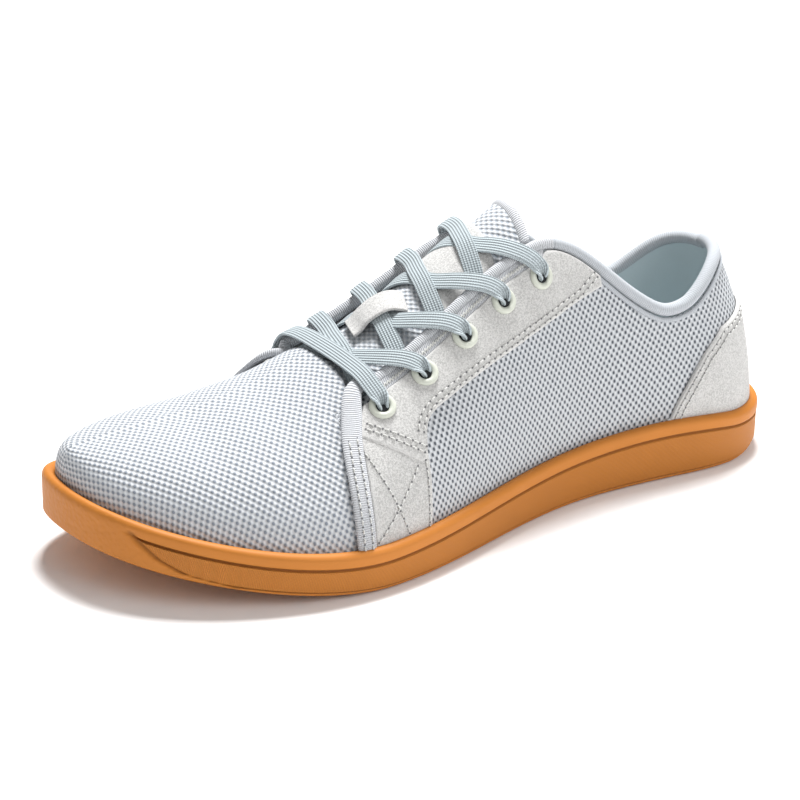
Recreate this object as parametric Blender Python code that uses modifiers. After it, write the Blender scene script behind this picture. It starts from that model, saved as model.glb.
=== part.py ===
"""Barefoot shoe, left foot: a cup sole with a hollow mesh upper, suede overlays and flat laces.

Frame: +X towards the toe, +Y to the lateral side, +Z up. The sole stands on z = 0, toe and heel lifted.
A place on the last is given by a station (0 heel back to 1 toe tip) and an angle up the section
(0 lateral foot, 90 ridge, 180 medial foot).
"""
import math

import bmesh
import bpy
import numpy as np
from mathutils import Matrix, Vector

# Driving sizes in metres
SOLE_LENGTH = 0.2900
BALL_WIDTH = 0.1080
HEEL_WIDTH = 0.0720
SIDE_HEIGHT = 0.0215
FLOOR_THICKNESS = 0.0070
GROOVE_DEPTH = 0.0009
SILL_HEIGHT = 0.0030
RIM_WALL = 0.0042
RIM_BAND = 0.0048
TOE_LIFT = 0.0160
HEEL_LIFT = 0.0052
TREAD_DEPTH = 0.0011
TREAD_WIDTH = 0.0022
TREAD_WAVE = 0.0030
INSTEP_HEIGHT = 0.1050
UPPER_WALL = 0.0020
INSOLE_THICKNESS = 0.0040
OVERLAY = 0.0013
TONGUE_THICKNESS = 0.0032
COLLAR_ROLL = 0.0064
COLLAR_SINK = 0.0010
THROAT_BEAD = 0.0050
BEAD_SINK = 0.0002
FRONT_TAPE_WIDTH = 0.0066
FRONT_TAPE_THICKNESS = 0.0028
EYELET_DIAMETER = 0.0096
EYELET_BARREL = 0.0054
EYELET_HOLE = 0.0045
EYELET_FLANGE = 0.0011
LACE_WIDTH = 0.0072
LACE_THICKNESS = 0.0016
GAP = 0.0003

# How finely the curved pieces are divided
STATIONS = 36
ROWS = 5
ROUND_STEPS = 10
ROUND_CORNERS = 8

# Sole outline, heel back round the lateral side to the toe and back along the medial side:
# share of the sole's length, share of half the heel width, share of half the ball width
OUTLINE = [
    (0.000, 0.000, 0.000), (0.030, 0.655, 0.000), (0.095, 0.955, 0.000), (0.200, 0.970, 0.000),
    (0.350, 0.985, 0.000), (0.480, 0.000, 0.835), (0.600, 0.000, 1.045), (0.710, 0.000, 1.135),
    (0.800, 0.000, 1.055), (0.880, 0.000, 0.855), (0.945, 0.000, 0.565), (0.988, 0.000, 0.175),
    (1.000, 0.000, -0.280), (0.985, 0.000, -0.560), (0.930, 0.000, -0.770), (0.840, 0.000, -0.870),
    (0.740, 0.000, -0.870), (0.620, 0.000, -0.770), (0.500, 0.000, -0.620), (0.370, -0.900, 0.000),
    (0.240, -0.955, 0.000), (0.110, -0.955, 0.000), (0.030, -0.655, 0.000)]

# Height of the sole's side: share of the length, share of the side height
SIDE = [(0.00, 0.70), (0.12, 1.00), (0.35, 0.985), (0.55, 0.83), (0.75, 0.72), (1.00, 0.78)]

# Curve of the underside: share of the length where the lift starts, and its power
TOE_SPRING, TOE_POWER = 0.68, 1.55
HEEL_SPRING, HEEL_POWER = 0.10, 1.60

# Tread grooves across the sole: share of the length of the first, step and number
TREAD_FIRST, TREAD_STEP, TREAD_COUNT = 0.10, 0.064, 13

# Ridge of the last: share of the length, share of the instep height,
# sideways place as a share of the ball width
RIDGE = [
    (0.00, 1.150, 0.000), (0.15, 1.010, 0.000), (0.30, 1.035, -0.004), (0.42, 1.000, -0.010),
    (0.52, 0.850, -0.020), (0.62, 0.678, -0.038), (0.72, 0.560, -0.050), (0.82, 0.483, -0.065),
    (0.90, 0.446, -0.102), (1.00, 0.400, -0.138)]

# Fullness of the section, 2 for an ellipse and more for a boxier one: station, power
FULLNESS = [(0.00, 1.80), (0.30, 2.10), (0.50, 2.15), (0.70, 2.20), (0.85, 2.90), (1.00, 3.20)]

# The ridge stops short of heel and toe, where the stations fan out from its ends
SPINE_HEEL, HEEL_FAN = 0.45, 0.05
SPINE_TOE, TOE_FAN = 0.85, 0.20

# Top edge of the upper's wall: station, angle up the section in degrees
COLLAR_CORNER = 0.352
THROAT_FRONT = 0.632
EDGE = [
    (0.000, 43.0), (0.050, 43.0), (0.090, 42.0), (0.129, 38.6), (0.160, 35.2), (0.183, 33.8),
    (0.208, 33.8), (0.233, 36.2), (0.260, 40.4), (0.286, 45.6), (0.313, 51.4), (0.335, 55.4),
    (0.355, 57.8), (0.390, 58.6), (0.500, 58.4), (0.632, 58.6)]

# The throat's medial half stands further forward by this share of the length; stations where that starts,
# begins to fade and ends, and its share at angles over the section
THROAT_SKEW = 0.040
SKEW_FROM, SKEW_TO, SKEW_END = 0.20, 0.68, 0.88
SKEW_SPREAD = [(58.0, 90.0, 101.0, 112.0, 121.4), (0.0, 0.15, 0.35, 0.75, 1.0)]

# Lower edge of the eyestay's upper run: station, angle in degrees
STAY_LOWER = [
    (0.288, 43.6), (0.322, 40.8), (0.362, 37.9), (0.418, 36.1), (0.464, 37.0), (0.510, 38.3), (0.556, 39.0),
    (0.650, 39.0)]
STAY_REAR, LEG_REAR = 0.292, 0.569
# Front edge of the eyestay's leg: angle in degrees, station
STAY_FRONT = [
    (0.0, 0.6467), (16.0, 0.6465), (26.6, 0.6455), (36.0, 0.6425), (45.0, 0.6375), (53.0, 0.628),
    (58.6, 0.612)]

# Middle of the tape down the eyestay's front: station, angle in degrees, height over the last in mm
TAPE_PATH = [
    (0.608, 63.4, 0.0), (0.617, 63.2, 1.2), (0.627, 61.4, 2.6), (0.6390, 55.0, 2.1), (0.6500, 46.0, 1.75),
    (0.6555, 36.0, 1.7), (0.6580, 26.6, 1.7), (0.6590, 16.0, 1.7)]

# Top edge of the heel counter: station, angle in degrees
COUNTER_TOP = [
    (0.000, 29.5), (0.060, 29.5), (0.121, 28.2), (0.156, 23.2), (0.175, 18.7), (0.198, 12.6),
    (0.212, 7.6)]
COUNTER_END = 0.212

# Eyelets from the top down: angle in degrees, first station, step and number
EYELET_ANGLE = 51.0
EYELET_TOP, EYELET_PITCH, EYELET_ROWS = 0.379, 0.0567, 5

# Tongue: station, half its angle across in degrees, height over the last's surface in tongue thicknesses
TONGUE = [
    (0.390, 21.3, 0.10), (0.403, 22.3, -0.42), (0.416, 24.2, -0.86), (0.430, 27.5, -1.01),
    (0.450, 34.0, -1.03), (0.500, 37.0, -1.03), (0.560, 38.0, -1.03), (0.640, 37.0, -1.02),
    (0.700, 34.0, -1.05)]
TONGUE_CROWN = 0.0008
TONGUE_BEAD_WIDTH, TONGUE_BEAD_THICKNESS = 0.0054, 0.0046
PATCH_FROM, PATCH_TO, PATCH_HALF_ANGLE, PATCH_THICKNESS = 0.427, 0.472, 10.5, 0.0010
KEEPER_FROM, KEEPER_TO, KEEPER_ANGLE = 0.516, 0.582, 84.0
KEEPER_WIDTH, KEEPER_RISE = 0.0108, 0.0074

# Laces: angle where a strip comes out from under an edge and how far behind the lower eyelet one from the
# medial side does, extra height of the strip on top, and shares of the way with heights over the last
LACE_START_ANGLE = 74.0
LACE_START_SLIP = 0.010
LACE_LIFT = 0.0009
LACE_RISE = [(0.0, 0.2, 0.38, 0.6, 0.8, 1.0), (-0.0008, 0.0003, 0.0008, 0.0028, 0.0046, 0.0046)]
LACE_BAR = [(0.0, 0.35, 0.60, 0.80, 1.0), (0.0034, 0.0044, 0.0052, 0.0054, 0.0048)]


def spline(rows, x, column=1):
    """Natural cubic spline through rows of a table, read at x."""
    rows = np.asarray(rows, float)
    xs, ys = rows[:, 0], rows[:, column]
    x = np.asarray(x, float)
    h = np.diff(xs)
    n = len(xs)
    a = np.eye(n)
    r = np.zeros(n)
    for i in range(1, n - 1):
        a[i, i - 1:i + 2] = h[i - 1], 2 * (h[i - 1] + h[i]), h[i]
        r[i] = 6 * ((ys[i + 1] - ys[i]) / h[i] - (ys[i] - ys[i - 1]) / h[i - 1])
    m = np.linalg.solve(a, r)
    i = np.clip(np.searchsorted(xs, x) - 1, 0, n - 2)
    d, w = x - xs[i], h[i]
    slope = (ys[i + 1] - ys[i]) / w - w * (2 * m[i] + m[i + 1]) / 6
    return ys[i] + d * slope + d * d * m[i] / 2 + d ** 3 * (m[i + 1] - m[i]) / (6 * w)


def share(x):
    return x / SOLE_LENGTH + 0.5


def along(a):
    return (a - 0.5) * SOLE_LENGTH


def sole_outline(count=2400, wrap=6):
    """Smooth closed outline through the table's points, clockwise seen from above."""
    p = np.array([(along(a), (h * HEEL_WIDTH + b * BALL_WIDTH) / 2) for a, h, b in OUTLINE])
    q = np.vstack([p[-wrap:], p, p[:wrap + 1]])
    knot = np.r_[0, np.cumsum(np.linalg.norm(np.diff(q, axis=0), axis=1) ** 0.75)]
    u = np.linspace(knot[wrap], knot[wrap + len(p)], count, endpoint=False)
    return np.stack([spline(np.c_[knot, q[:, k]], u) for k in (0, 1)], -1)


OUTER = sole_outline()
# The tables' axis runs this far beside the middle of the sole's width
AXIS_Y = -(OUTER[:, 1].max() + OUTER[:, 1].min()) / 2
OUTER[:, 1] += AXIS_Y


def sides(distance, s):
    """Lateral and medial points of the outline moved inwards, at shares s from heel back to toe tip."""
    t = np.roll(OUTER, -1, 0) - np.roll(OUTER, 1, 0)
    t /= np.linalg.norm(t, axis=1)[:, None]
    c = OUTER + np.stack([t[:, 1], -t[:, 0]], -1) * distance
    lo, hi, n = int(np.argmin(c[:, 0])), int(np.argmax(c[:, 0])), len(c)
    pair = []
    for step in (1, -1):
        k = (lo + step * np.arange((step * (hi - lo)) % n + 1)) % n
        d = np.r_[0, np.cumsum(np.linalg.norm(np.diff(c[k], axis=0), axis=1))]
        pair.append(np.stack([np.interp(s, d / d[-1], c[k, j]) for j in (0, 1)], -1))
    return pair


def lift(x):
    """Height of the sole's underside over the floor: flat between heel and ball, rising to both ends."""
    a = share(x)
    toe = TOE_LIFT * np.clip((a - TOE_SPRING) / (1 - TOE_SPRING), 0, None) ** TOE_POWER
    heel = HEEL_LIFT * np.clip((HEEL_SPRING - a) / HEEL_SPRING, 0, None) ** HEEL_POWER
    return toe + heel


def rim_top(x):
    return lift(x) + SIDE_HEIGHT * spline(SIDE, np.clip(share(x), 0, 1))


FINE = np.linspace(0, 1, 601)
FOOT = sides(RIM_WALL + GAP, FINE)


def spine(s):
    """Share of the length at which the ridge stands for a station; its steps shrink towards both ends."""
    mean = share((FOOT[0][:, 0] + FOOT[1][:, 0]) / 2)
    toe_at, heel_at = np.interp((SPINE_TOE, SPINE_HEEL), mean, FINE)
    step = 0.01
    toe_rate = (np.interp(toe_at + step, FINE, mean) - SPINE_TOE) / step * (1 - toe_at)
    heel_rate = (SPINE_HEEL - np.interp(heel_at - step, FINE, mean)) / step * heel_at
    u = np.clip((s - toe_at) / (1 - toe_at), 0, 1)
    v = np.clip((heel_at - s) / heel_at, 0, 1)
    toe = SPINE_TOE + toe_rate * (u - (1 - TOE_FAN) / 2 * u * u)
    heel = SPINE_HEEL - heel_rate * (v - (1 - HEEL_FAN) / 2 * v * v)
    return np.where(s > toe_at, toe, np.where(s < heel_at, heel, np.interp(s, FINE, mean)))


def surface(s, degrees):
    """Outer surface of the upper: each section is half a superellipse from the foot line over the ridge."""
    s, phi = np.broadcast_arrays(np.asarray(s, float), np.radians(np.asarray(degrees, float)))
    near = phi <= math.pi / 2
    foot = np.stack([
        np.where(near, np.interp(s, FINE, FOOT[0][:, k]), np.interp(s, FINE, FOOT[1][:, k]))
        for k in (0, 1)], -1)
    a = spine(s)
    power = 2 / spline(FULLNESS, s)
    across = np.abs(np.cos(phi)) ** power
    up = np.clip(np.sin(phi), 0, 1) ** power
    x = along(a) + (foot[..., 0] - along(a)) * across
    ridge_y = AXIS_Y + BALL_WIDTH * spline(RIDGE, a, 2)
    y = ridge_y + (foot[..., 1] - ridge_y) * across
    z0 = FLOOR_THICKNESS + GAP + lift(foot[..., 0])
    z = z0 + (INSTEP_HEIGHT * spline(RIDGE, share(x)) - z0) * up
    return np.stack([x, y, z], -1)


def unit(v):
    return v / np.linalg.norm(v, axis=-1, keepdims=True)


def frame_at(s, degrees):
    """Point, outward normal and direction along the section, which rises on its lateral half."""
    s, degrees = np.broadcast_arrays(np.asarray(s, float), np.asarray(degrees, float))
    ds, dd = 0.002, 0.4
    low, high = np.clip(s - ds, 0, 1), np.clip(s + ds, 0, 1)
    down, top = np.clip(degrees - dd, 0.5, 179.5), np.clip(degrees + dd, 0.5, 179.5)
    forward = surface(high, np.clip(degrees, 0.5, 179.5)) - surface(low, np.clip(degrees, 0.5, 179.5))
    over = surface(s, top) - surface(s, down)
    return surface(s, degrees), unit(np.cross(over, forward)), unit(over)


def offset(s, degrees, height, slide=0.0):
    """Point of the last moved out by a height and along the section by a slide."""
    p, n, over = frame_at(s, degrees)
    return p + n * np.asarray(height)[..., None] + over * np.asarray(slide)[..., None]


def edge_angle(s):
    """Angle of the wall's top edge; past the throat's front the section is whole."""
    return spline(EDGE, np.minimum(s, THROAT_FRONT))


def skew(s):
    """How much further forward than its lateral twin a place on the medial side stands."""
    t = np.clip((s - SKEW_FROM) / (COLLAR_CORNER - SKEW_FROM), 0, 1)
    return THROAT_SKEW * t * t * (3 - 2 * t) * np.clip((SKEW_END - s) / (SKEW_END - SKEW_TO), 0, 1)


def placed(s, degrees, medial):
    """Station and angle on its own side of a place that is given for the lateral side."""
    s, degrees = np.broadcast_arrays(np.asarray(s, float), np.asarray(degrees, float))
    return (s + skew(s), 180 - degrees) if medial else (s, degrees)


def rim_angle(s, medial=False):
    """Angle at which the upper's surface comes out of the cup's rim."""
    s = np.atleast_1d(np.asarray(s, float))
    angles = np.linspace(0.5, 40, 160)
    p = surface(s[:, None], (180 - angles if medial else angles)[None, :])
    over = p[..., 2] - rim_top(p[..., 0]) - GAP
    return np.array([np.interp(0, row, angles) for row in over])


def rotation(axis):
    return Vector((0, 0, 1)).rotation_difference(Vector(axis)).to_matrix().to_4x4()


def material(name, colour, roughness, metallic=0.0):
    m = bpy.data.materials.new(name)
    m.use_nodes = True
    bsdf = m.node_tree.nodes["Principled BSDF"]
    bsdf.inputs["Base Color"].default_value = (*colour, 1)
    bsdf.inputs["Roughness"].default_value = roughness
    bsdf.inputs["Metallic"].default_value = metallic
    return m


def add(name, mesh, look, group):
    """Object of a mesh in a collection, with its own copy of a material, shaded smooth."""
    obj = bpy.data.objects.new(name, mesh)
    group.objects.link(obj)
    mesh.materials.clear()
    mesh.materials.append(material(name, *look))
    mesh.shade_smooth()
    mesh.set_sharp_from_angle(angle=math.radians(40))
    return obj


def mesh_of(name, points, faces, closed=False):
    """Mesh of points and faces with its doubles merged; a closed one gets its normals turned outwards."""
    bm = bmesh.new()
    verts = [bm.verts.new(p) for p in np.asarray(points, float)]
    for f in faces:
        bm.faces.new([verts[i] for i in f])
    bmesh.ops.remove_doubles(bm, verts=bm.verts, dist=0.00001)
    loose = [v for v in bm.verts if not v.link_faces]
    bmesh.ops.delete(bm, geom=loose, context="VERTS")
    if closed:
        bmesh.ops.recalc_face_normals(bm, faces=bm.faces)
    mesh = bpy.data.meshes.new(name)
    bm.to_mesh(mesh)
    bm.free()
    return mesh


def grid(points, keep=None, flip=False):
    """Vertices and quads of a grid of points, only the cells that are kept."""
    rows, cols = points.shape[:2]
    faces = []
    for i in range(rows - 1):
        for j in range(cols - 1):
            if keep is None or keep[i, j]:
                a = i * cols + j
                quad = (a, a + 1, a + cols + 1, a + cols)
                faces.append(quad[::-1] if flip else quad)
    return points.reshape(-1, 3), faces


def shell(name, points, thickness, outwards, look, group, keep=None, flip=False):
    """Open surface given its wall by Solidify."""
    obj = add(name, mesh_of(name, *grid(points, keep, flip)), look, group)
    wall = obj.modifiers.new("wall", "SOLIDIFY")
    wall.thickness = thickness
    wall.offset = 1 if outwards else -1
    return obj


def band(name, centre, out, wide, half_wide, half_thick, look, group, corners=ROUND_CORNERS):
    """Solid carried along a path: an oval or flat section with half sizes in directions wide and out."""
    angle = np.arange(corners) * 2 * math.pi / corners + math.pi / corners
    c, s = np.cos(angle), np.sin(angle)
    half_wide = np.broadcast_to(half_wide, len(centre))[:, None, None]
    half_thick = np.broadcast_to(half_thick, len(centre))[:, None, None]
    fit = 1 / math.cos(math.pi / corners)
    p = (centre[:, None] + wide[:, None] * c[None, :, None] * half_wide * fit
         + out[:, None] * s[None, :, None] * half_thick * fit)
    n = len(centre)
    faces = [(i * corners + j, i * corners + (j + 1) % corners, (i + 1) * corners + (j + 1) % corners,
              (i + 1) * corners + j) for i in range(n - 1) for j in range(corners)]
    faces += [tuple(range(corners)), tuple(range((n - 1) * corners, n * corners))]
    return add(name, mesh_of(name, p.reshape(-1, 3), faces, closed=True), look, group)


def path_frame(centre, normal):
    """Direction across a path that lies on a surface with the given normals."""
    t = unit(np.gradient(centre, axis=0))
    wide = unit(np.cross(normal, t))
    return unit(np.cross(t, wide)), wide


GUM = ((0.69, 0.25, 0.06), 0.55)
MESH = ((0.66, 0.68, 0.71), 0.85)
SUEDE = ((0.71, 0.71, 0.70), 0.95)
TAPE = ((0.60, 0.62, 0.66), 0.80)
LINING = ((0.47, 0.55, 0.57), 0.85)
LACE = ((0.50, 0.58, 0.61), 0.75)
RING = ((0.80, 0.82, 0.70), 0.35)


def outsole(group, cutters):
    """Cup sole: underside, rounded side with a groove under its rim band, rim top and the cup's floor."""
    s = np.linspace(0, 1, STATIONS)
    groove, sill = GROOVE_DEPTH, SILL_HEIGHT

    def ring(distance, height):
        lat, med = sides(distance, s)
        loop = np.vstack([lat, med[-2:0:-1]])
        return np.c_[loop, height(loop[:, 0])]

    def from_rim(drop):
        return lambda x: rim_top(x) - drop

    def from_floor(rise):
        return lambda x: lift(x) + rise

    rings = [
        ring(0.0036, from_floor(0.0)), ring(0.0012, from_floor(0.0010)), ring(0.0005, from_floor(sill)),
        ring(0.0009, from_floor(sill + 0.0006)), ring(0.0005, from_rim(RIM_BAND + 2 * groove)),
        ring(0.0005 + groove, from_rim(RIM_BAND + groove)), ring(0.0, from_rim(RIM_BAND)),
        ring(0.0, from_rim(0.0014)), ring(0.0010, from_rim(0.0)), ring(RIM_WALL - 0.0008, from_rim(0.0)),
        ring(RIM_WALL, from_rim(0.0010)), ring(RIM_WALL, from_floor(FLOOR_THICKNESS))]
    count = len(rings[0])
    points = np.vstack(rings)
    faces = [
        (r * count + i, r * count + (i + 1) % count, (r + 1) * count + (i + 1) % count, (r + 1) * count + i)
        for r in range(len(rings) - 1) for i in range(count)]
    for r in (0, len(rings) - 1):
        start = r * count
        for i in range(STATIONS - 1):
            a, b = start + i, start + i + 1
            c, d = start + (count - i - 1) % count, start + (count - i) % count
            if i == 0:
                faces.append((a, b, c))
            elif i == STATIONS - 2:
                faces.append((a, b, d))
            else:
                faces.append((a, b, c, d))
    obj = add("outsole", mesh_of("outsole", points, faces, closed=True), GUM, group)

    cut(obj, tread_cutter(cutters))
    return obj


def tread_cutter(cutters):
    """Wavy bars with a square section, one for each groove of the tread."""
    turns = 7
    y = AXIS_Y + np.linspace(-0.62, 0.66, turns) * BALL_WIDTH
    wave = TREAD_WAVE * np.cos(np.arange(turns) * math.pi)
    corners = ((-0.5, False), (0.5, False), (0.5, True), (-0.5, True))
    points, faces = [], []
    for k in range(TREAD_COUNT):
        x = along(TREAD_FIRST + TREAD_STEP * k) + wave
        top, low = lift(x) + TREAD_DEPTH, lift(x) - 2 * TREAD_DEPTH
        base = k * turns * 4
        ring = [np.c_[x + side * TREAD_WIDTH, y, top if high else low] for side, high in corners]
        points.append(np.stack(ring, 1).reshape(-1, 3))
        for start in range(base, base + (turns - 1) * 4, 4):
            faces += [
                (start + j, start + (j + 1) % 4, start + 4 + (j + 1) % 4, start + 4 + j) for j in range(4)]
        faces += [tuple(base + j for j in range(4)), tuple(base + (turns - 1) * 4 + j for j in range(4))]
    mesh = mesh_of("tread_cutter", np.vstack(points), faces, closed=True)
    return add("tread_cutter", mesh, GUM, cutters)


def cut(obj, cutter, operation="DIFFERENCE"):
    cutter.hide_render = True
    cutter.display_type = "WIRE"
    step = obj.modifiers.new("cut", "BOOLEAN")
    step.operation = operation
    step.object = cutter
    step.solver = "EXACT"


def upper(group, hole_cutter):
    """Hollow mesh upper, open at collar and throat and underneath."""
    behind = int(STATIONS * THROAT_FRONT)
    s = np.r_[np.linspace(0, THROAT_FRONT, behind), np.linspace(THROAT_FRONT, 1, STATIONS - behind + 1)[1:]]
    closing = 3
    rise = np.linspace(0, 1, ROWS + 1)
    rest = np.linspace(0, 1, closing + 1)[1:]
    edge = edge_angle(s)[:, None]
    lateral = np.hstack([edge * rise, edge + (90 - edge) * rest])
    angles = np.hstack([lateral, 180 - lateral[:, -2::-1]])
    keep = np.ones((len(s) - 1, angles.shape[1] - 1), bool)
    keep[:behind - 1, ROWS:ROWS + 2 * closing] = False
    stations = s[:, None] + skew(s)[:, None] * np.interp(angles, *SKEW_SPREAD)
    obj = shell("upper", surface(stations, angles), UPPER_WALL, False, MESH, group, keep)
    cut(obj, hole_cutter)
    return obj


def insole(group):
    s = np.linspace(0, 1, STATIONS * 2 // 3)
    lat, med = sides(RIM_WALL + UPPER_WALL + 3 * GAP, s)
    t = np.linspace(0, 1, 5)[None, :, None]
    flat = lat[:, None] * (1 - t) + med[:, None] * t
    z = lift(flat[..., 0]) + FLOOR_THICKNESS + GAP
    return shell("insole", np.dstack([flat, z]), INSOLE_THICKNESS, True, LINING, group)


def eyelet_seats():
    """Point and outward normal of each eyelet on the last, lateral row first, from the top down."""
    s = EYELET_TOP + EYELET_PITCH * np.arange(EYELET_ROWS)
    seats = []
    for side in ("lateral", "medial"):
        p, n, _ = frame_at(*placed(s, EYELET_ANGLE, side == "medial"))
        seats += [(f"eyelet_{side}_{k + 1}", p[k], n[k]) for k in range(EYELET_ROWS)]
    return seats


def eyelet_holes(cutters):
    points, faces = [], []
    steps = ROUND_STEPS
    for _, p, n in eyelet_seats():
        turn = np.array(rotation(n).to_3x3())
        for z in (-0.006, 0.006):
            a = np.arange(steps) * 2 * math.pi / steps
            r = EYELET_BARREL / 2 + GAP
            points.append(p + np.c_[r * np.cos(a), r * np.sin(a), np.full(steps, z)] @ turn.T)
        base = (len(points) - 2) * steps
        faces += [(base + i, base + (i + 1) % steps, base + steps + (i + 1) % steps, base + steps + i)
                  for i in range(steps)]
        faces += [tuple(base + i for i in range(steps)), tuple(base + steps + i for i in range(steps))]
    return add("hole_cutter", mesh_of("hole_cutter", np.vstack(points), faces, closed=True), RING, cutters)


def eyelets(group):
    """Turned rings: a domed flange over the eyestay and a barrel through eyestay and upper."""
    flange = EYELET_DIAMETER / 2
    barrel, hole = EYELET_BARREL / 2, EYELET_HOLE / 2
    reach = OVERLAY + UPPER_WALL + 3 * GAP
    profile = [(flange * 0.80, EYELET_FLANGE), (flange, EYELET_FLANGE * 0.30), (flange, 0.0), (barrel, 0.0),
               (barrel, -reach), (hole, -reach), (hole * 1.20, EYELET_FLANGE)]
    points = [(r, 0, z) for r, z in profile]
    for name, p, n in eyelet_seats():
        mesh = bpy.data.meshes.new(name)
        mesh.from_pydata(points, [(i, (i + 1) % len(points)) for i in range(len(points))], [])
        obj = add(name, mesh, RING, group)
        turn = obj.modifiers.new("turn", "SCREW")
        turn.steps = ROUND_STEPS
        turn.render_steps = ROUND_STEPS
        turn.merge_threshold = 0.00005
        turn.use_merge_vertices = True
        obj.matrix_world = Matrix.Translation(Vector(p + n * (OVERLAY + 2 * GAP))) @ rotation(n)


def eyestay(side, group, hole_cutter):
    """Suede overlay: an upper run along collar and throat, and a leg down to the rim."""
    medial = side == "medial"
    run = np.linspace(STAY_REAR, LEG_REAR, 13)
    leg = np.linspace(0, 1, 5)[1:]
    top_rows, leg_rows = 3, 4
    foot = rim_angle(placed([LEG_REAR, STAY_FRONT[0][1]], 0, medial)[0], medial).max()
    rows = []
    for k in range(leg_rows + top_rows + 1):
        if k < leg_rows:
            t = k / leg_rows
            angle = foot + (spline(STAY_LOWER, run) - foot) * t
        else:
            t = (k - leg_rows) / top_rows
            low = spline(STAY_LOWER, run)
            angle = low + (edge_angle(run) - low) * t
        front_angle = angle[-1]
        front = np.interp(front_angle, [r[0] for r in STAY_FRONT], [r[1] for r in STAY_FRONT])
        stations = np.r_[run, LEG_REAR + (front - LEG_REAR) * leg]
        rows.append(np.stack([stations, np.r_[angle, np.full(len(leg), front_angle)]], -1))
    place = np.stack(rows, 1)
    s, angle = place[..., 0], place[..., 1]
    keep = np.ones((len(s) - 1, s.shape[1] - 1), bool)
    keep[:len(run) - 1, :leg_rows] = False
    p = offset(*placed(s, angle, medial), np.full(s.shape, GAP))
    obj = shell(f"eyestay_{side}", p, OVERLAY, True, SUEDE, group, keep, flip=medial)
    cut(obj, hole_cutter)
    return obj


def heel_counter(group):
    """Suede overlay round the heel, high at the back and running down to the rim on both sides."""
    half = np.linspace(COUNTER_END, 0, 11)
    rows = np.linspace(0, 1, 6)
    grids = []
    for medial in (False, True):
        low = rim_angle(half, medial)
        high = np.maximum(spline(COUNTER_TOP, np.minimum(half, COUNTER_TOP[-1][0])), low + 1.0)
        angle = low[:, None] + (high - low)[:, None] * rows
        across = 180 - angle if medial else angle
        grids.append(offset(half[:, None] + 0 * angle, across, np.full(angle.shape, GAP)))
    both = np.vstack([grids[0], grids[1][-2::-1]])
    return shell("heel_counter", both, OVERLAY, True, SUEDE, group, flip=True)


def beside(s, degrees, height, slide):
    """Path beside a line on the last: moved out by a height and square to the line towards the top."""
    p, n, over = frame_at(s, degrees)
    _, wide = path_frame(p, n)
    up = np.where(np.asarray(degrees) > 90, -1, 1)[:, None] * over
    wide = wide * np.sign(np.sum(wide * up, axis=-1, keepdims=True))
    centre = p + n * np.asarray(height)[..., None] + wide * np.asarray(slide)[..., None]
    return (centre, *path_frame(centre, n))


def collar_binding(group):
    half = np.linspace(COLLAR_CORNER - 0.002, 0, 22)
    r = COLLAR_ROLL / 2
    lateral, medial = (placed(half, edge_angle(half), side) for side in (False, True))
    s, angle = (np.r_[a, b[-2::-1]] for a, b in zip(lateral, medial))
    centre, out, wide = beside(s, angle, np.full(len(s), -COLLAR_SINK), np.full(len(s), 3 * GAP + r))
    return band("collar_binding", centre, out, wide, r, r, TAPE, group)


def throat_binding(side, group):
    """Bead round the throat's edge that flattens to a tape down the front of the eyestay's leg."""
    medial = side == "medial"
    bead, tape_w, tape_t = THROAT_BEAD / 2, FRONT_TAPE_WIDTH / 2, FRONT_TAPE_THICKNESS / 2
    s = np.linspace(COLLAR_CORNER + 0.002, TAPE_PATH[0][0] - 0.008, 14)
    s, edge = placed(s, edge_angle(s), medial)
    count = len(s)
    upper_part, _, _ = beside(s, edge, np.full(count, -BEAD_SINK), np.full(count, 2 * GAP + bead))
    last, _, height = TAPE_PATH[-1]
    foot = rim_angle([placed(last, 0, medial)[0]], medial)[0]
    rows = np.array([*TAPE_PATH, (last, foot + 1.0, height)])
    ahead, down = placed(rows[:, 0], rows[:, 1], medial)
    centre = np.vstack([upper_part, offset(ahead, down, rows[:, 2] * 0.001)])
    _, normal, _ = frame_at(np.r_[s, ahead], np.r_[edge, down])
    out, wide = path_frame(centre, normal)
    flat = np.clip((np.arange(len(centre)) - count) / 3, 0, 1)
    return band(f"throat_binding_{side}", centre, out, wide, bead + (tape_w - bead) * flat,
                bead + (tape_t - bead) * flat, TAPE, group)


def tongue_height(s, degrees):
    """Height of the tongue's outer face over the last."""
    crown = TONGUE_CROWN * np.cos(np.radians(np.clip((degrees - 90) * 2.2, -90, 90))) ** 2
    return TONGUE_THICKNESS * spline(TONGUE, s, 2) + crown * np.clip((0.62 - s) / 0.05, 0, 1)


def tongue(group):
    s = np.linspace(TONGUE[0][0], TONGUE[-1][0], 15)
    across = np.linspace(-1, 1, 8)
    half = spline(TONGUE, s, 1)
    angle = 90 + half[:, None] * across[None, :]
    ss = s[:, None] + 0 * angle
    p = offset(ss, angle, tongue_height(ss, angle))
    return shell("tongue", p, TONGUE_THICKNESS, False, MESH, group)


def tongue_binding(group):
    """Bead along the tongue's top edge."""
    top, half, _ = TONGUE[0]
    angle = 90 + half * np.linspace(-1, 1, 9)
    edge, below = (
        offset(np.full(len(angle), s), angle, tongue_height(s, angle)) for s in (top, TONGUE[1][0]))
    back = unit(edge - below)
    across = unit(np.gradient(edge, axis=0))
    out = unit(np.cross(across, back))
    out *= np.sign(out[:, 2:])
    half_wide, half_thick = TONGUE_BEAD_WIDTH / 2, TONGUE_BEAD_THICKNESS / 2
    centre = edge - out * TONGUE_THICKNESS / 2 + back * (half_wide + 3 * GAP)
    return band("tongue_binding", centre, out, back, half_wide, half_thick, TAPE, group)


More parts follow.
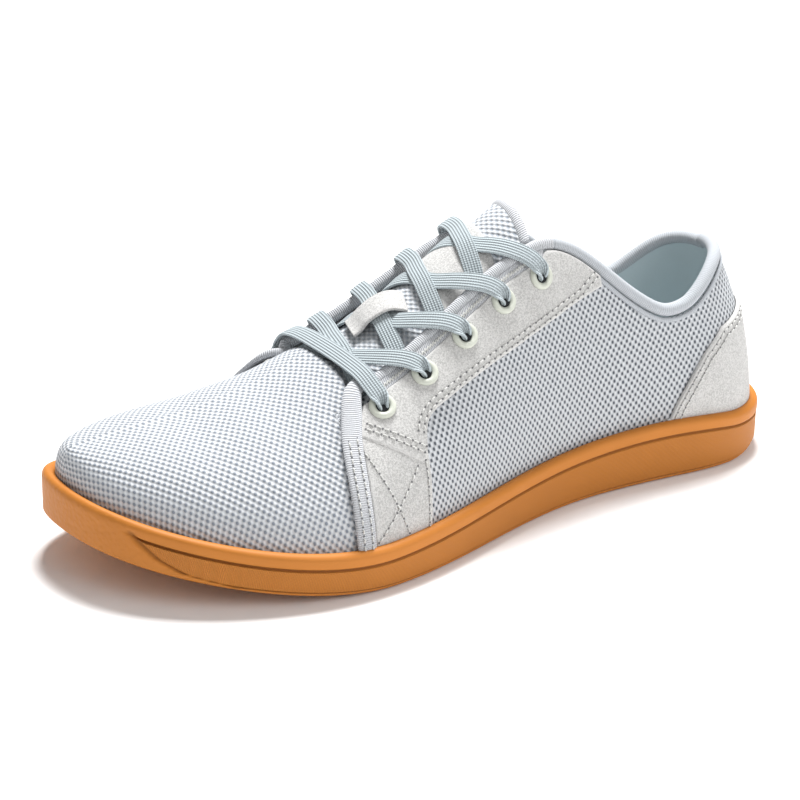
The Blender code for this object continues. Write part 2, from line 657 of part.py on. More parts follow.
def tongue_patch(group):
    s = np.linspace(PATCH_FROM, PATCH_TO, 6)
    angle = 90 + np.linspace(-1, 1, 6)[None, :] * PATCH_HALF_ANGLE
    ss, angle = s[:, None] + 0 * angle, angle + 0 * s[:, None]
    p = offset(ss, angle, tongue_height(ss, angle) + GAP)
    return shell("tongue_patch", p, PATCH_THICKNESS, True, SUEDE, group)


def strip(s, degrees, height):
    """Points of a flat strip on the last: centre line, outward direction and direction across."""
    centre = offset(s, degrees, height)
    _, n, _ = frame_at(s, degrees)
    return (centre, *path_frame(centre, n))


def lace_keeper(group):
    """Suede loop on the tongue that the third crossing runs under."""
    t = np.linspace(0, 1, 11)
    s = KEEPER_FROM + (KEEPER_TO - KEEPER_FROM) * t
    angle = np.full(len(s), KEEPER_ANGLE)
    seat = tongue_height(s, angle) + GAP + OVERLAY / 2
    hump = KEEPER_RISE * np.sin(math.pi * t) ** 0.4
    centre, out, wide = strip(s, angle, seat + hump)
    return band("lace_keeper", centre, out, wide, KEEPER_WIDTH / 2, OVERLAY / 2, SUEDE, group, corners=4)


def lace_strip(name, start, end, lifted, group):
    """Lace from under one throat edge, over the tongue and the other edge, to the eyelet there."""
    t = np.linspace(0, 1, 12)
    s, angle = (a + (b - a) * t for a, b in zip(start, end))
    height = np.interp(t, LACE_RISE[0], LACE_RISE[1]) + lifted * np.exp(-((angle - 90) / 12) ** 2)
    centre, out, wide = strip(s, angle, height)
    return band(name, centre, out, wide, LACE_WIDTH / 2, LACE_THICKNESS / 2, LACE, group, corners=4)


def laces(group, cutters):
    rows = EYELET_TOP + EYELET_PITCH * np.arange(EYELET_ROWS)
    starts, ends = (
        [placed(rows, angle, side) for side in (False, True)] for angle in (LACE_START_ANGLE, EYELET_ANGLE))
    for k in range(EYELET_ROWS - 1):
        strips = []
        for way, name, lifted, place in (
                (0, "lace_cross", LACE_LIFT, group), (1, "lace_under", 0.0, cutters)):
            start = starts[way][0][k + 1] - way * LACE_START_SLIP, starts[way][1][k + 1]
            end = ends[1 - way][0][k], ends[1 - way][1][k]
            strips.append(lace_strip(f"{name}_{k + 1}", start, end, lifted, place))
        cut(*strips, "UNION")
    t = np.linspace(0, 1, 12)
    s, angle = (a[-1] + (b[-1] - a[-1]) * t for a, b in zip(*ends))
    height = np.interp(np.abs(t - 0.5) * 2, LACE_BAR[0], LACE_BAR[1])
    centre, out, wide = strip(s, angle, height)
    band("lace_bar", centre, out, wide, LACE_WIDTH / 2, LACE_THICKNESS / 2, LACE, group, corners=4)


def clear_scene():
    for obj in list(bpy.data.objects):
        bpy.data.objects.remove(obj, do_unlink=True)


def main():
    clear_scene()
    group = bpy.data.collections.new("barefoot_shoe")
    cutters = bpy.data.collections.new("cutters")
    for collection in (group, cutters):
        bpy.context.scene.collection.children.link(collection)
    holes = eyelet_holes(cutters)
    outsole(group, cutters)
    upper(group, holes)
    insole(group)
    heel_counter(group)
    collar_binding(group)
    for side in ("lateral", "medial"):
        eyestay(side, group, holes)
        throat_binding(side, group)
    tongue(group)
    tongue_binding(group)
    tongue_patch(group)
    lace_keeper(group)
    eyelets(group)
    laces(group, cutters)


main()
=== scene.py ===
"""Looks of the barefoot shoe: knit, suede, tape, laces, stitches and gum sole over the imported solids.

Frame: +X towards the toe, +Y to the lateral side, +Z up, metres. A place on the last is given by a
station (0 heel back to 1 toe tip) and an angle up the section (0 lateral foot, 90 ridge, 180 medial foot).
"""
import math

import bmesh
import bpy
import numpy as np
from bpy.props import FloatProperty, FloatVectorProperty, PointerProperty
from mathutils import Matrix, Vector


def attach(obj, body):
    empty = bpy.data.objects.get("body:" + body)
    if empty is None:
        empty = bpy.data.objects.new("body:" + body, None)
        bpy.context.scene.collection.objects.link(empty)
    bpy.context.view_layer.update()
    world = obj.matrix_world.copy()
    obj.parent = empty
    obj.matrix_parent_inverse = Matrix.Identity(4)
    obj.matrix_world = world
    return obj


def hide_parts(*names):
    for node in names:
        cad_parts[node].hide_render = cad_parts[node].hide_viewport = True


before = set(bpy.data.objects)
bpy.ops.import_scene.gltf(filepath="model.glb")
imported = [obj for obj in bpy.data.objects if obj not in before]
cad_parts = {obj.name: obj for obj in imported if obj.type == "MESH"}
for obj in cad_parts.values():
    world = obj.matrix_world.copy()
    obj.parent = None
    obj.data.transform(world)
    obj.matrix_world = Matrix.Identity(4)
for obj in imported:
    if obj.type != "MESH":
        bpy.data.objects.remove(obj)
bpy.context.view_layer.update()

bl_info = {
    "name": "Barefoot shoe looks",
    "version": (1, 1, 0),
    "blender": (4, 5, 0),
    "location": "3D View > Sidebar > Shoe",
    "description": "Knit upper, suede overlays, taped edges, laces, stitches and gum sole of a barefoot shoe",
    "category": "Object",
}

# Sizes of the last and sole in metres
SOLE_LENGTH = 0.2900
BALL_WIDTH = 0.1080
HEEL_WIDTH = 0.0720
SIDE_HEIGHT = 0.0215
FLOOR_THICKNESS = 0.0070
RIM_WALL = 0.0042
RIM_BAND = 0.0048
ROLL_DROP = 0.0022
TOE_LIFT = 0.0160
HEEL_LIFT = 0.0052
INSTEP_HEIGHT = 0.1050
UPPER_WALL = 0.0020
INSOLE_THICKNESS = 0.0040
OVERLAY = 0.0013
TONGUE_THICKNESS = 0.0032
GAP = 0.0003
MERGE = 0.000001

# Sole outline, heel back round the lateral side to the toe and back along the medial side:
# share of the sole's length, share of half the heel width, share of half the ball width
OUTLINE = [
    (0.000, 0.000, 0.000), (0.030, 0.655, 0.000), (0.095, 0.955, 0.000), (0.200, 0.970, 0.000),
    (0.350, 0.985, 0.000), (0.480, 0.000, 0.835), (0.600, 0.000, 1.045), (0.710, 0.000, 1.135),
    (0.800, 0.000, 1.055), (0.880, 0.000, 0.855), (0.945, 0.000, 0.565), (0.988, 0.000, 0.175),
    (1.000, 0.000, -0.280), (0.985, 0.000, -0.560), (0.930, 0.000, -0.770), (0.840, 0.000, -0.870),
    (0.740, 0.000, -0.870), (0.620, 0.000, -0.770), (0.500, 0.000, -0.620), (0.370, -0.900, 0.000),
    (0.240, -0.955, 0.000), (0.110, -0.955, 0.000), (0.030, -0.655, 0.000)]

# Height of the sole's side: share of the length, share of the side height
SIDE = [(0.00, 0.70), (0.12, 1.00), (0.35, 0.985), (0.55, 0.83), (0.75, 0.72), (1.00, 0.78)]

# Sole's side: rounding of the tread's edge inwards and upwards, how far the edge and the side stand in from
# the outline, the fine line along the side, the groove under the rim's band, and how the rim falls at the toe
EDGE_IN, EDGE_UP, EDGE_INSET = 0.0030, 0.0012, 0.0006
SIDE_INSET, LINE_HEIGHT, LINE_INSET = 0.0002, 0.0016, 0.0010
GROOVE_DEPTH, GROOVE_HEIGHT = 0.0009, 0.00126
TOE_DROP = 0.0014

# Waves of the tread: height of a wave, place of the first and pitch as shares of the length, number of the
# last, depth, and half widths of a groove at its bottom and top
TREAD_WAVE, TREAD_FIRST, TREAD_PITCH, TREAD_LAST = 0.0030, 0.10, 0.064, 12
TREAD_DEPTH, TREAD_HALF = 0.0011, (0.0007, 0.0013)

# Curve of the underside: share of the length where the lift starts, and its power
TOE_SPRING, TOE_POWER = 0.68, 1.55
HEEL_SPRING, HEEL_POWER = 0.10, 1.60

# Ridge of the last: share of the length, share of the instep height, sideways share of the ball width
RIDGE = [
    (0.00, 1.150, 0.000), (0.15, 1.010, 0.000), (0.30, 1.035, -0.004), (0.42, 1.000, -0.010),
    (0.52, 0.850, -0.020), (0.62, 0.678, -0.038), (0.72, 0.560, -0.050), (0.82, 0.483, -0.065),
    (0.90, 0.446, -0.102), (1.00, 0.400, -0.138)]

# Fullness of the section, 2 for an ellipse and more for a boxier one: station, power
FULLNESS = [(0.00, 1.80), (0.30, 2.10), (0.50, 2.15), (0.70, 2.20), (0.85, 2.90), (1.00, 3.20)]

# The ridge stops short of heel and toe, where the stations fan out from its ends
SPINE_HEEL, HEEL_FAN = 0.45, 0.05
SPINE_TOE, TOE_FAN = 0.85, 0.20

# Top edge of the upper's wall: station, angle up the section in degrees
COLLAR_CORNER, THROAT_FRONT = 0.352, 0.632
EDGE = [
    (0.000, 43.0), (0.050, 43.0), (0.090, 42.0), (0.129, 38.6), (0.160, 35.2), (0.183, 33.8),
    (0.208, 33.8), (0.233, 36.2), (0.260, 40.4), (0.286, 45.6), (0.313, 51.4), (0.335, 55.4),
    (0.355, 57.8), (0.390, 58.6), (0.500, 58.4), (0.632, 58.6)]

# The throat's medial half stands further forward by this share of the length; stations where that starts,
# begins to fade and ends
THROAT_SKEW = 0.040
SKEW_FROM, SKEW_TO, SKEW_END = 0.20, 0.68, 0.88

# Lower edge of the eyestay's run, along the quarter and then along the seam over the leg: station, angle
STAY_REAR = 0.290
RUN_LOWER = [
    (0.288, 43.6), (0.322, 40.8), (0.362, 37.9), (0.390, 36.7), (0.418, 36.2), (0.440, 36.4), (0.464, 37.0),
    (0.510, 38.2), (0.545, 38.8), (0.5560, 38.2), (0.5620, 36.8), (0.5660, 34.4), (0.5685, 31.0),
    (0.5720, 27.4), (0.5780, 27.4), (0.586, 29.4), (0.612, 37.2), (0.638, 45.2)]
# Rear and front edges of the eyestay's leg: angle in degrees, station
LEG_BACK = [(0.0, 0.5745), (6.0, 0.573), (21.9, 0.569), (33.0, 0.5685)]
STAY_FRONT = [
    (0.0, 0.6475), (16.0, 0.6475), (26.6, 0.6465), (36.0, 0.6440), (45.0, 0.6410), (53.0, 0.634),
    (58.6, 0.624)]
# Stitched lines of the leg: the seam under the run and the two strokes of the cross
SEAM = [(0.6340, 46.6), (0.5860, 31.9), (0.5760, 29.0)]
CROSS = [[(0.6420, 40.6), (0.6060, 8.4)], [(0.5850, 27.2), (0.6450, 9.0)]]

# Middle of the tape down the eyestay's front: station, angle in degrees, height over the last in mm
TAPE_PATH = [
    (0.608, 63.4, 0.0), (0.617, 63.2, 1.2), (0.627, 61.4, 2.2), (0.6390, 55.0, 1.9),
    (0.6500, 46.0, 1.6), (0.6555, 36.0, 1.5), (0.6580, 26.6, 1.5), (0.6590, 16.0, 1.5)]
TAPE_HALF, TAPE_HALF_THICK = 0.0036, 0.0013

# Rear edge of the vamp: angle in degrees, station
VAMP_REAR = [
    (0.0, 0.655), (40.0, 0.650), (58.0, 0.634), (69.0, 0.629), (79.0, 0.631), (90.0, 0.638),
    (111.0, 0.646), (118.0, 0.662), (125.0, 0.676), (140.0, 0.690), (180.0, 0.696)]

# Top edge of the heel counter: station, angle in degrees
COUNTER_TOP = [
    (0.000, 29.5), (0.060, 29.5), (0.121, 28.2), (0.156, 23.2), (0.175, 18.7), (0.198, 12.6),
    (0.212, 7.6)]
COUNTER_END = COUNTER_TOP[-1][0]

# Front panel of the sole's side: height over the underside in mm, share round the outline where it starts
TOE_PANEL = [
    (0.0, 0.716), (1.9, 0.803), (2.7, 0.839), (5.5, 0.864), (9.7, 0.883), (13.6, 0.895), (15.6, 0.901),
    (30.0, 0.930)]
# Half the outline's length, the sine of the panel's slant, and the notch along its edge: depth and width
HALF_OUTLINE, PANEL_SINE = 0.34, 0.32
NOTCH_DEPTH, NOTCH_WIDTH = 0.0008, 0.0006

# Overlays: the run lies on the leg, the rounded border of both, and how far they go down under the rim
RUN_BASE, RUN_THICK = GAP + 0.0004, OVERLAY - 0.0002
LEG_THICK, LEG_TOP = OVERLAY - 0.0003, 34.0
BORDER = 0.0009
UNDER_RIM = -0.001

# Eyelets from the top down: angle in degrees, first station, step and number
EYELET_ANGLE = 51.0
EYELET_TOP, EYELET_PITCH, EYELET_ROWS = 0.379, 0.0567, 5

# Height of the throat bead's middle. Ribbed wing between bead and suede: width in degrees, the stations over
# which the suede makes room for it, its own first and last station, thickness and border
BEAD_HEIGHT = -0.0002
WING = 3.2
WING_ROOM = (0.362, 0.378)
WING_FROM, WING_TO, WING_THICK, WING_BORDER = 0.366, 0.612, 0.0011, 0.0004
# Collar's roll: height of its middle, station where it thins to the bead; its piped seam's half sizes and
# distance from the edge
ROLL_HEIGHT, ROLL_THINS = -0.0010, 0.262
PIPE_WIDE, PIPE_THICK, PIPE_OFF = 0.0009, 0.0006, 0.0004
# How far the laces pull the throat's medial edge up, the stations between which that rises and falls, and
# how far the roll lies lower on the medial side
THROAT_STAND = 0.0026
STAND_RISE, STAND_FALL = (0.36, 0.42), (0.60, 0.64)
FAR_SINK = 0.0020

# Laces, from under an edge to the eyelet on the other side. Each row: stations ahead of that eyelet's,
# angle counted from the lace's own start, height over the last in mm
LACE_OVER = [
    (0.034, 60.0, -3.4), (0.034, 66.0, -2.4), (0.033, 73.0, -1.2), (0.030, 82.0, 0.3), (0.026, 91.0, -0.2),
    (0.022, 101.0, 0.6), (0.019, 108.0, 3.4), (0.015, 115.0, 5.8), (0.009, 121.5, 5.4), (0.003, 126.0, 3.8)]
LACE_UNDER = [
    (0.099, 64.0, -3.6), (0.097, 70.0, -2.4), (0.089, 80.0, -1.5), (0.078, 90.0, -1.5), (0.066, 100.0, -1.3),
    (0.049, 109.0, 0.9), (0.030, 116.4, 3.3), (0.012, 122.4, 3.9), (0.004, 126.0, 3.6)]
# How much further forward each crossing's upper run starts, from the top down, and the last station that
# a lower run may start at
OVER_SHIFT = (0.004, 0.003, 0.000, -0.008)
UNDER_LAST = 0.630
# Front bar: station, angle, height in mm
LACE_BAR = [
    (0.6065, 54.0, 3.7), (0.6085, 57.3, 4.4), (0.6110, 62.5, 4.6), (0.6150, 70.0, 3.0), (0.6205, 79.0, 1.9),
    (0.6255, 89.0, 1.5), (0.6290, 100.0, 2.4), (0.6320, 108.5, 4.6), (0.6350, 115.5, 6.0),
    (0.6395, 121.5, 5.4), (0.6430, 126.0, 3.8)]

# End of a lace in its eyelet: stations ahead, angle from the other side, height in mm; and its curl, which
# starts and is full at these distances from the end, with this radius
LACE_DIVE = np.array([(0.0008, 128.0, 1.7), (0.0006, 128.5, -0.8), (0.0004, 128.6, -3.6)])
CURL_FROM, CURL_FULL, CURL_RADIUS = 0.0100, 0.0052, 0.00140

# Tongue: station, half its angle across in degrees, height over the last in tongue thicknesses
TONGUE = [
    (0.390, 26.0, -0.02), (0.403, 28.5, -0.27), (0.416, 30.0, -0.54), (0.430, 31.0, -0.80),
    (0.450, 34.0, -0.98), (0.500, 37.0, -1.03), (0.560, 38.0, -1.03), (0.640, 37.0, -1.02),
    (0.700, 34.0, -1.05)]
# Middle of the tongue: how much higher it stands, and the station and length over which that ends
TONGUE_CROWN, CROWN_END, CROWN_FADE = 0.0008, 0.62, 0.05
TONGUE_TAPE_WIDE, TONGUE_TAPE_THICK = 0.0026, 0.0023
PATCH_FROM, PATCH_TO, PATCH_THICK, PATCH_BORDER = 0.430, 0.503, 0.0011, 0.0008
# Keeper from its stitched end: station, angle in degrees, height over the last in mm
KEEPER = [
    (0.592, 88.0, -1.0), (0.585, 87.5, -0.6), (0.577, 87.0, 0.7), (0.567, 86.0, 1.9), (0.556, 85.0, 2.2),
    (0.547, 84.0, 1.6), (0.540, 83.0, 0.0), (0.534, 82.0, -2.2)]
KEEPER_WIDE, KEEPER_THICK = 0.0054, 0.00075

# Eyelets: height of the ring, how deep its edge and its barrel go, and height of the dark disc of painted
# shade in its hole
RING_HEIGHT, RING_DEPTH, BARREL_DEPTH, SHADE_DISC_HEIGHT = 0.0012, 0.0015, 0.0040, 0.0003

# Soft troughs and ridges of the upper: station, angle in degrees, reach along and across, height in mm
CREASES = [
    (0.700, 62.0, 0.022, 26.0, -0.35), (0.745, 84.0, 0.026, 30.0, 0.30), (0.790, 70.0, 0.022, 34.0, -0.28),
    (0.840, 96.0, 0.030, 30.0, 0.22), (0.700, 118.0, 0.024, 22.0, -0.30), (0.300, 24.0, 0.030, 10.0, -0.35),
    (0.360, 18.0, 0.030, 9.0, 0.30), (0.470, 22.0, 0.035, 9.0, -0.30), (0.090, 36.0, 0.030, 6.0, -0.20),
    (0.330, 158.0, 0.030, 10.0, -0.35), (0.460, 160.0, 0.035, 9.0, -0.30)]

# Patterns: ribs of tape and collar, ribs and cross stitches of the lace, hatching and grain of the gum
TAPE_RIB, COLLAR_RIB = 0.00075, 0.0008
LACE_RIB, LACE_STITCH = 0.00105, 0.00085
HATCH_PITCH, HATCH_SLANT, GRAIN_SCALE = 0.00058, 0.22, 620

# Studio: name, place, width and power of each light
LIGHTS = [("top", (-0.26, -0.40, 1.25), 0.38, 32.0), ("fill", (-0.45, 0.95, 0.60), 0.9, 6.0)]
WORLD_LIGHT = 0.40
FLOOR_HALF, FLOOR_TONE = 6.0, 0.90
# Camera: azimuth, elevation and roll in degrees, focal length in the photograph's pixels, its width in
# pixels, the sensor's width in mm, and the distance from the point that it looks at
CAMERA_TURN = (32.2217, 22.2844, 0.9675)
FOCAL_PIXELS, PHOTO_WIDTH, SENSOR = 2481.8, 800, 36.0
CAMERA_DISTANCE, AIM_X, AIM_Z = 0.9, 0.0129, 0.0401

# Stitches: part of the run's edge that they follow, distances from an edge, the same for the seam and the
# counter, stations from the leg's back edge and from the tape's middle, and a needle's hole in thread radii
RUN_SEWN = (0.30, 0.567)
EDGE_ROWS, SEAM_ROWS, COUNTER_ROWS = (0.0014, 0.0036), (0.0012, 0.0034), (-0.0014, -0.0038)
LEG_ROW, TAPE_ROW = 0.0055, 0.0046
NEEDLE_HOLE = 1.35

SIDES = (("lateral", False), ("medial", True))


def spline(rows, x, column=1):
    """Natural cubic spline through rows of a table, read at x."""
    rows = np.asarray(rows, float)
    xs, ys = rows[:, 0], rows[:, column]
    x = np.asarray(x, float)
    h = np.diff(xs)
    n = len(xs)
    a = np.eye(n)
    r = np.zeros(n)
    for i in range(1, n - 1):
        a[i, i - 1:i + 2] = h[i - 1], 2 * (h[i - 1] + h[i]), h[i]
        r[i] = 6 * ((ys[i + 1] - ys[i]) / h[i] - (ys[i] - ys[i - 1]) / h[i - 1])
    m = np.linalg.solve(a, r)
    i = np.clip(np.searchsorted(xs, x) - 1, 0, n - 2)
    d, w = x - xs[i], h[i]
    slope = (ys[i + 1] - ys[i]) / w - w * (2 * m[i] + m[i + 1]) / 6
    return ys[i] + d * slope + d * d * m[i] / 2 + d ** 3 * (m[i + 1] - m[i]) / (6 * w)


def table(rows, x, column=1):
    """Straight line through rows of a table, read at x."""
    rows = np.asarray(rows, float)
    return np.interp(x, rows[:, 0], rows[:, column])


def step(low, high, x):
    """Smooth step: 0 below low, 1 above high, 3t^2 - 2t^3 between."""
    t = np.clip((np.asarray(x, float) - low) / (high - low), 0, 1)
    return t * t * (3 - 2 * t)


def share(x):
    """Share of the sole's length at a place along it."""
    return x / SOLE_LENGTH + 0.5


def along(a):
    """Place along the sole at a share of its length."""
    return (a - 0.5) * SOLE_LENGTH


def sole_outline(count=4800, wrap=6):
    """Smooth closed outline through the table's points, clockwise seen from above."""
    p = np.array([(along(a), (h * HEEL_WIDTH + b * BALL_WIDTH) / 2) for a, h, b in OUTLINE])
    q = np.vstack([p[-wrap:], p, p[:wrap + 1]])
    knot = np.r_[0, np.cumsum(np.linalg.norm(np.diff(q, axis=0), axis=1) ** 0.75)]
    u = np.linspace(knot[wrap], knot[wrap + len(p)], count, endpoint=False)
    return np.stack([spline(np.c_[knot, q[:, k]], u) for k in (0, 1)], -1)


OUTER = sole_outline()
# The tables' axis runs this far beside the middle of the sole's width
AXIS_Y = -(OUTER[:, 1].max() + OUTER[:, 1].min()) / 2
OUTER[:, 1] += AXIS_Y


def sides(distance, s):
    """Lateral and medial points of the outline moved inwards, at shares s from heel back to toe tip."""
    t = np.roll(OUTER, -1, 0) - np.roll(OUTER, 1, 0)
    t /= np.linalg.norm(t, axis=1)[:, None]
    c = OUTER + np.stack([t[:, 1], -t[:, 0]], -1) * distance
    lo, hi, n = int(np.argmin(c[:, 0])), int(np.argmax(c[:, 0])), len(c)
    pair = []
    for way in (1, -1):
        k = (lo + way * np.arange((way * (hi - lo)) % n + 1)) % n
        d = np.r_[0, np.cumsum(np.linalg.norm(np.diff(c[k], axis=0), axis=1))]
        pair.append(np.stack([np.interp(s, d / d[-1], c[k, j]) for j in (0, 1)], -1))
    return pair


def lift(x):
    """Height of the sole's underside over the floor: flat between heel and ball, rising to both ends."""
    a = share(x)
    toe = TOE_LIFT * np.clip((a - TOE_SPRING) / (1 - TOE_SPRING), 0, None) ** TOE_POWER
    heel = HEEL_LIFT * np.clip((HEEL_SPRING - a) / HEEL_SPRING, 0, None) ** HEEL_POWER
    return toe + heel


def rim_top(x):
    """Height of the rim: the underside's lift and the side's height by its table."""
    return lift(x) + SIDE_HEIGHT * spline(SIDE, np.clip(share(x), 0, 1))


FINE = np.linspace(0, 1, 1201)
FOOT = sides(RIM_WALL + GAP, FINE)


def spine(s):
    """Share of the length at which the ridge stands for a station; its steps shrink towards both ends."""
    mean = share((FOOT[0][:, 0] + FOOT[1][:, 0]) / 2)
    toe_at, heel_at = np.interp((SPINE_TOE, SPINE_HEEL), mean, FINE)
    width = 0.01
    toe_rate = (np.interp(toe_at + width, FINE, mean) - SPINE_TOE) / width * (1 - toe_at)
    heel_rate = (SPINE_HEEL - np.interp(heel_at - width, FINE, mean)) / width * heel_at
    u = np.clip((s - toe_at) / (1 - toe_at), 0, 1)
    v = np.clip((heel_at - s) / heel_at, 0, 1)
    toe = SPINE_TOE + toe_rate * (u - (1 - TOE_FAN) / 2 * u * u)
    heel = SPINE_HEEL - heel_rate * (v - (1 - HEEL_FAN) / 2 * v * v)
    return np.where(s > toe_at, toe, np.where(s < heel_at, heel, np.interp(s, FINE, mean)))


def surface(s, degrees):
    """Outer surface of the last: each section is half a superellipse from the foot line over the ridge."""
    s, phi = np.broadcast_arrays(np.asarray(s, float), np.radians(np.asarray(degrees, float)))
    near = phi <= math.pi / 2
    foot = np.stack([
        np.where(near, np.interp(s, FINE, FOOT[0][:, k]), np.interp(s, FINE, FOOT[1][:, k]))
        for k in (0, 1)], -1)
    a = spine(s)
    power = 2 / spline(FULLNESS, s)
    across = np.abs(np.cos(phi)) ** power
    up = np.clip(np.sin(phi), 0, 1) ** power
    x = along(a) + (foot[..., 0] - along(a)) * across
    ridge_y = AXIS_Y + BALL_WIDTH * spline(RIDGE, a, 2)
    y = ridge_y + (foot[..., 1] - ridge_y) * across
    z0 = FLOOR_THICKNESS + GAP + lift(foot[..., 0])
    z = z0 + (INSTEP_HEIGHT * spline(RIDGE, share(x)) - z0) * up
    return np.stack([x, y, z], -1)


def unit(v):
    """Vectors of length one."""
    return v / np.maximum(np.linalg.norm(v, axis=-1, keepdims=True), 1e-12)


def relief(s, degrees):
    """Height of the creases over the smooth last: a sum of oval bumps exp(-a^2 - b^2)."""
    total = np.zeros(np.broadcast(s, degrees).shape)
    for station, angle, reach, spread, height in CREASES:
        total += height * 0.001 * np.exp(-((s - station) / reach) ** 2 - ((degrees - angle) / spread) ** 2)
    return total


def frame_at(s, degrees):
    """Point, outward normal and direction along the section, which rises on its lateral half."""
    s, degrees = np.broadcast_arrays(np.asarray(s, float), np.asarray(degrees, float))
    ds, dd = 0.002, 0.4
    low, high = np.clip(s - ds, 0, 1), np.clip(s + ds, 0, 1)
    middle = np.clip(degrees, 0.5, 179.5)
    down, top = np.clip(degrees - dd, 0.5, 179.5), np.clip(degrees + dd, 0.5, 179.5)
    forward = surface(high, middle) - surface(low, middle)
    over = surface(s, top) - surface(s, down)
    return surface(s, degrees), unit(np.cross(over, forward)), unit(over)


def offset(s, degrees, height):
    """Point of the creased last moved out by a height."""
    p, n, _ = frame_at(s, degrees)
    return p + n * (np.asarray(height) + relief(s, degrees))[..., None]


def edge_angle(s):
    """Angle of the wall's top edge; past the throat's front the section is whole."""
    return spline(EDGE, np.minimum(s, THROAT_FRONT))


def skew(s):
    """How much further forward than its lateral twin a place on the medial side stands."""
    fade = np.clip((SKEW_END - s) / (SKEW_END - SKEW_TO), 0, 1)
    return THROAT_SKEW * step(SKEW_FROM, COLLAR_CORNER, s) * fade


def placed(s, degrees, medial):
    """Station and angle on its own side of a place that is given for the lateral side."""
    s, degrees = np.broadcast_arrays(np.asarray(s, float), np.asarray(degrees, float))
    return (s + skew(s), 180 - degrees) if medial else (s, degrees)


def rim_angle(s, medial=False, drop=GAP):
    """Angle at which the upper's surface comes out of the cup's rim, or a drop under it."""
    s = np.atleast_1d(np.asarray(s, float))
    angles = np.linspace(0.5, 40, 160)
    p = surface(s[:, None], (180 - angles if medial else angles)[None, :])
    over = p[..., 2] - rim_top(p[..., 0]) - drop
    return np.array([np.interp(0, row, angles) for row in over])


def path_frame(centre, normal):
    """Outward direction and direction across a path that lies on a surface with the given normals."""
    t = unit(np.gradient(centre, axis=0))
    wide = unit(np.cross(normal, t))
    return unit(np.cross(t, wide)), wide


def beside(s, degrees, height, slide):
    """Path beside a line on the last: moved out by a height and square to the line towards the top."""
    p, n, over = frame_at(s, degrees)
    _, wide = path_frame(p, n)
    up = np.where(np.asarray(degrees) > 90, -1, 1)[:, None] * over
    wide = wide * np.sign(np.sum(wide * up, axis=-1, keepdims=True))
    return p + n * np.asarray(height)[..., None] + wide * np.asarray(slide)[..., None], n


def read(place, where, values):
    """Vectors between rows of values that stand at where, by straight lines."""
    return np.stack([np.interp(place, where, values[:, k]) for k in range(3)], -1)


def resample(points, count):
    """Smooth path through points, at equal steps of its length."""
    d = lengths(points)
    fine = np.stack([spline(np.c_[d, points[:, k]], np.linspace(0, d[-1], 8 * count)) for k in range(3)], -1)
    e = lengths(fine)
    return read(np.linspace(0, e[-1], count), e, fine)


def lengths(points, axis=0):
    """Running length along one axis of a grid of points."""
    d = np.linalg.norm(np.diff(points, axis=axis), axis=-1)
    zero = np.zeros_like(np.take(d, [0], axis=axis))
    return np.cumsum(np.concatenate([zero, d], axis=axis), axis=axis)


def flattened(points, ridge=None, coarse=36, rounds=900, stiffness=0.12):
    """Lays a grid of points flat: springs along rows, columns and diagonals pull to their true lengths.

    They start from the plan seen square on, or, where the ridge's column is named, from the ridge drawn out
    straight with every section laid out to both sides of it.
    """
    rows, cols = points.shape[:2]
    r = np.linspace(0, rows - 1, min(coarse, rows)).round().astype(int)
    c = np.linspace(0, cols - 1, min(coarse, cols)).round().astype(int)
    p = points[np.ix_(r, c)]
    middle = p.reshape(-1, 3) - p.reshape(-1, 3).mean(0)
    axes = np.linalg.svd(middle, full_matrices=False)[2][:2]
    q = (middle @ axes.T).reshape(*p.shape[:2], 2)
    if ridge is not None:
        at = int(np.argmin(np.abs(c - ridge)))
        drawn = lengths(p, 0)[:, at, None] * np.array([1.0, 0.0])
        reach = np.abs(lengths(p, 1) - lengths(p, 1)[:, at:at + 1])
        down = np.where(np.arange(len(c)) < at, 0, -1)
        q = drawn[:, None] + unit(p[:, down, :2] - p[:, at:at + 1, :2]) * reach[..., None]
    pairs = [(np.s_[:, 1:], np.s_[:, :-1]), (np.s_[1:], np.s_[:-1]),
             (np.s_[1:, 1:], np.s_[:-1, :-1]), (np.s_[1:, :-1], np.s_[:-1, 1:])]
    rest = [np.linalg.norm(p[a] - p[b], axis=-1) for a, b in pairs]
    for _ in range(rounds):
        move = np.zeros_like(q)
        for (a, b), length in zip(pairs, rest):
            d = q[a] - q[b]
            now = np.maximum(np.linalg.norm(d, axis=-1), 1e-9)
            pull = d * ((now - length) / now * stiffness)[..., None]
            move[a] -= pull
            move[b] += pull
        q += move
    way = q[-1, len(c) // 2] - q[0, len(c) // 2]
    way /= np.linalg.norm(way)
    q = np.stack([q @ way, q @ np.array([-way[1], way[0]])], -1)
    wide = np.stack([[np.interp(np.arange(cols), c, row) for row in q[..., k]] for k in (0, 1)], -1)
    tall = [[np.interp(np.arange(rows), r, wide[:, j, k]) for j in range(cols)] for k in (0, 1)]
    return np.transpose(np.array(tall), (2, 1, 0))


def grid_sheet(points, uv=None, material=0, flip=False, masks=None):
    """A grid of points, or a stack of like grids, with flat coordinates, ready to be joined into a piece."""
    points = points if points.ndim == 4 else points[None]
    if uv is None:
        uv = np.stack([lengths(points, 1), lengths(points, 2)], -1)
    return points, uv.reshape(*points.shape[:3], 2), material, flip, masks


